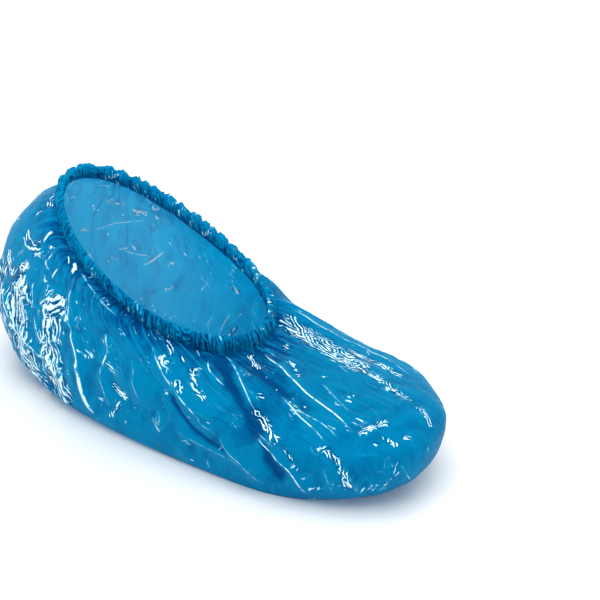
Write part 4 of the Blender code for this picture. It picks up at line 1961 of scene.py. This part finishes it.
        bulge = size["Belly"] + size["Puff"] * folds.bulk * 0.8 + folds.tucks + rough + folds.crinkle * 0.6
        inward = (top_out * rise - body * bulge).least(body ** 0.5 * -1.5) - size["Inner Gap"] * (1.0 - rise)
        inside = self._off(bench, place, (out, inward), (up, lift))
        chosen = strip.side > 0.0
        shape = bench.summed(bench.scaled(outside, chosen), bench.scaled(inside, 1.0 - chosen))
        # Read as painted shade in the hollows of lobes, pleats and tucks and painted light on their crests.
        fold = (folds.puff - 0.65) * (0.2 + plump * 0.7) * body + folds.tucks * 1.9 + folds.wave * 0.4
        fold = fold + folds.fine * 1.8 + rough
        # How deep the hem's colour is: for its layered film and as painted shade, painted lighter on the
        # plump side.
        drawn = (rise * 0.1 + 0.5) * chosen + (1.0 - chosen) * 0.5 - plump * 0.45
        return shape, fold * (0.4 + body * 0.6), drawn

    @staticmethod
    def _swept(bench: Bench, rise: Signal, stays: tuple[Signal, ...]) -> tuple[Signal, Signal]:
        """Work out a smooth sweep that leaves the film along it and ends on the crown.

        Args:
            bench: The bench to add nodes with.
            rise: The share of the way up the sweep.
            stays: The four places that draw the sweep.

        Returns:
            Places on the sweep, and its slope.
        """
        fall = 1.0 - rise
        shares = fall * fall * fall, fall * fall * rise * 3.0, fall * rise * rise * 3.0, rise * rise * rise
        point = bench.summed(*(bench.scaled(stay, share) for stay, share in zip(stays, shares)))
        shares = (fall * fall, fall * rise * 2.0, rise * rise)
        steps = (bench.vectors("SUBTRACT", after, before) for before, after in zip(stays, stays[1:]))
        return point, bench.summed(*(bench.scaled(step, share) for step, share in zip(steps, shares)))

    @staticmethod
    def _ways(bench: Bench, tangent: Signal) -> tuple[Signal, Signal]:
        """Work out the ways out and up from the middle line.

        Args:
            bench: The bench to add nodes with.
            tangent: The line's own way.

        Returns:
            The way out, and the way up.
        """
        flat = bench.vectors("NORMALIZE", bench.vectors("CROSS_PRODUCT", tangent, UPWARDS))
        lean = LEAN_SIDES + bench.part(flat, "X") ** 2.0 * (LEAN_ENDS - LEAN_SIDES)
        leaning = bench.vectors("SUBTRACT", UPWARDS, bench.scaled(flat, lean))
        return flat, bench.vectors("NORMALIZE", leaning)

    @staticmethod
    def _off(bench: Bench, place: Signal, *steps: tuple[Signal, Signal]) -> Signal:
        """Return places moved by some ways and millimetres."""
        return bench.summed(place, *(bench.scaled(way, length * MM) for way, length in steps))

    def build(self, finish: FilmFinish, body: FilmBody) -> bpy.types.Object:
        """Build the hem.

        Args:
            finish: What the hem is made of.
            body: The built film that the hem's outer side runs out onto.

        Returns:
            The hem's object.
        """
        path, foot = self._path(), self._foot(body.hem_lines())
        sizes = self._sizes(body, path, foot)
        hem = grown("hem_gathers", self._tree(finish.material(), sizes), sizes)
        for helper in (path, foot):
            bpy.data.objects.remove(helper, do_unlink=True)
        return hem

    @staticmethod
    def dress(hem: bpy.types.Object) -> None:
        """Tell the frame what the hem is."""
        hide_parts("gathered_hem")
        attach(hem, "root")


@dataclass(frozen=True)
class ElasticBand:
    """The elastic in the fold of the hem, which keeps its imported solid."""

    node: str = "elastic_band"

    def dress(self, finish: PlainFinish) -> bpy.types.Object:
        """Give the band its finish.

        Args:
            finish: What the band is made of.

        Returns:
            The band's object.
        """
        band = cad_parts[self.node]
        band.data.materials.clear()
        band.data.materials.append(finish.material())
        return band


@dataclass(frozen=True)
class SoftBox:
    """A square studio light that faces the cover."""

    name: str
    place: tuple[float, float, float]
    size: float
    power: float
    mirrored: bool = True
    aim: tuple[float, float, float] = (0.0, 0.0, 0.05)

    def build(self) -> None:
        """Hang the light."""
        data = bpy.data.lights.new(self.name, "AREA")
        data.shape = "SQUARE"
        data.size = self.size
        data.energy = self.power
        light = placed(self.name, data)
        light.location = self.place
        light.visible_glossy = self.mirrored
        gaze = Vector(self.aim) - Vector(self.place)
        light.rotation_euler = gaze.to_track_quat("-Z", "Y").to_euler()


@dataclass(frozen=True)
class Studio:
    """The table, the lights, the air round them and the camera. Sizes are metres, the frame pixels."""

    azimuth: float = 34.1
    elevation: float = 33.1
    distance: float = 1.4
    target: tuple[float, float, float] = (0.0, 0.0, 0.045)
    focal_pixels: float = 2331.0
    frame_pixels: float = 600.0
    centre_pixels: tuple[float, float] = (214.8, 349.9)
    sensor: float = 36.0
    air: float = 0.72
    air_colour: tuple[float, float, float] = (0.98, 0.99, 1.0)
    table: PlainFinish = PlainFinish("table", (0.76, 0.76, 0.76), (0.74, 0.74, 0.75), Noise(2.0), 0.8)
    floor_half: float = 4.0
    lights: tuple[SoftBox, ...] = (
        SoftBox("left", (-1.1, -0.55, 0.30), 0.36, 1.9),
        SoftBox("right front", (0.9, -1.1, 0.55), 0.2, 2.5),
        SoftBox("back", (-0.25, 1.3, 0.35), 0.5, 5.5, mirrored=False),
        SoftBox("top", (0.15, -0.2, 1.3), 1.0, 7.2, mirrored=False),
    )

    def build(self) -> None:
        """Set up the table, lights, air and camera."""
        self._floor()
        for light in self.lights:
            light.build()
        self._air()
        self._camera()
        bpy.context.scene.view_settings.view_transform = "Standard"
        bpy.context.scene.view_settings.look = "High Contrast"

    def _floor(self) -> None:
        """Lay the pale table."""
        half = self.floor_half
        corners = [(-half, -half, 0.0), (half, -half, 0.0), (half, half, 0.0), (-half, half, 0.0)]
        data = bpy.data.meshes.new("table")
        data.from_pydata(corners, [], [(0, 1, 2, 3)])
        data.materials.append(self.table.material())
        placed("table", data)

    def _air(self) -> None:
        """Fill the room with even light."""
        world = bpy.data.worlds.new("air")
        world.use_nodes = True
        backdrop = world.node_tree.nodes["Background"]
        backdrop.inputs["Color"].default_value = (*self.air_colour, 1.0)
        backdrop.inputs["Strength"].default_value = self.air
        bpy.context.scene.world = world

    def _camera(self) -> None:
        """Place the camera at the photograph's angle and framing."""
        turn, lift = math.radians(self.azimuth), math.radians(self.elevation)
        flat = math.cos(lift)
        back = Vector((math.sin(turn) * flat, -math.cos(turn) * flat, math.sin(lift)))
        data = bpy.data.cameras.new("camera")
        data.sensor_width = self.sensor
        data.lens = self.sensor * self.focal_pixels / self.frame_pixels
        data.shift_x = 0.5 - self.centre_pixels[0] / self.frame_pixels
        data.shift_y = self.centre_pixels[1] / self.frame_pixels - 0.5
        camera = placed("camera", data)
        camera.location = Vector(self.target) + back * self.distance
        camera.rotation_euler = (-back).to_track_quat("-Z", "Y").to_euler()
        bpy.context.scene.camera = camera


FILM = FilmFinish("blue film", (0.0, 0.36, 0.58), (0.0, 0.14, 0.33))
HEM_FILM = FilmFinish(
    "gathered film", (0.0, 0.43, 0.67), (0.0, 0.145, 0.34), alpha=0.99, gloss=0.6, bare=0.57
)
ELASTIC = PlainFinish("elastic cord", (0.01, 0.16, 0.40), (0.0, 0.12, 0.33), Noise(900.0), 0.6)


def main() -> None:
    """Build the shoe cover in order and report each piece."""
    body = FilmBody()
    film = body.build()
    body.dress(film, FILM)
    hem = GatheredHem()
    strip = hem.build(HEM_FILM, body)
    hem.dress(strip)
    elastic = ElasticBand().dress(ELASTIC)
    Studio().build()
    for piece in (film, strip, elastic):
        LOG.info("%s: %d faces", piece.name, len(piece.data.polygons))


if __name__ == "__main__":
    logging.basicConfig(level=logging.INFO)
    main()
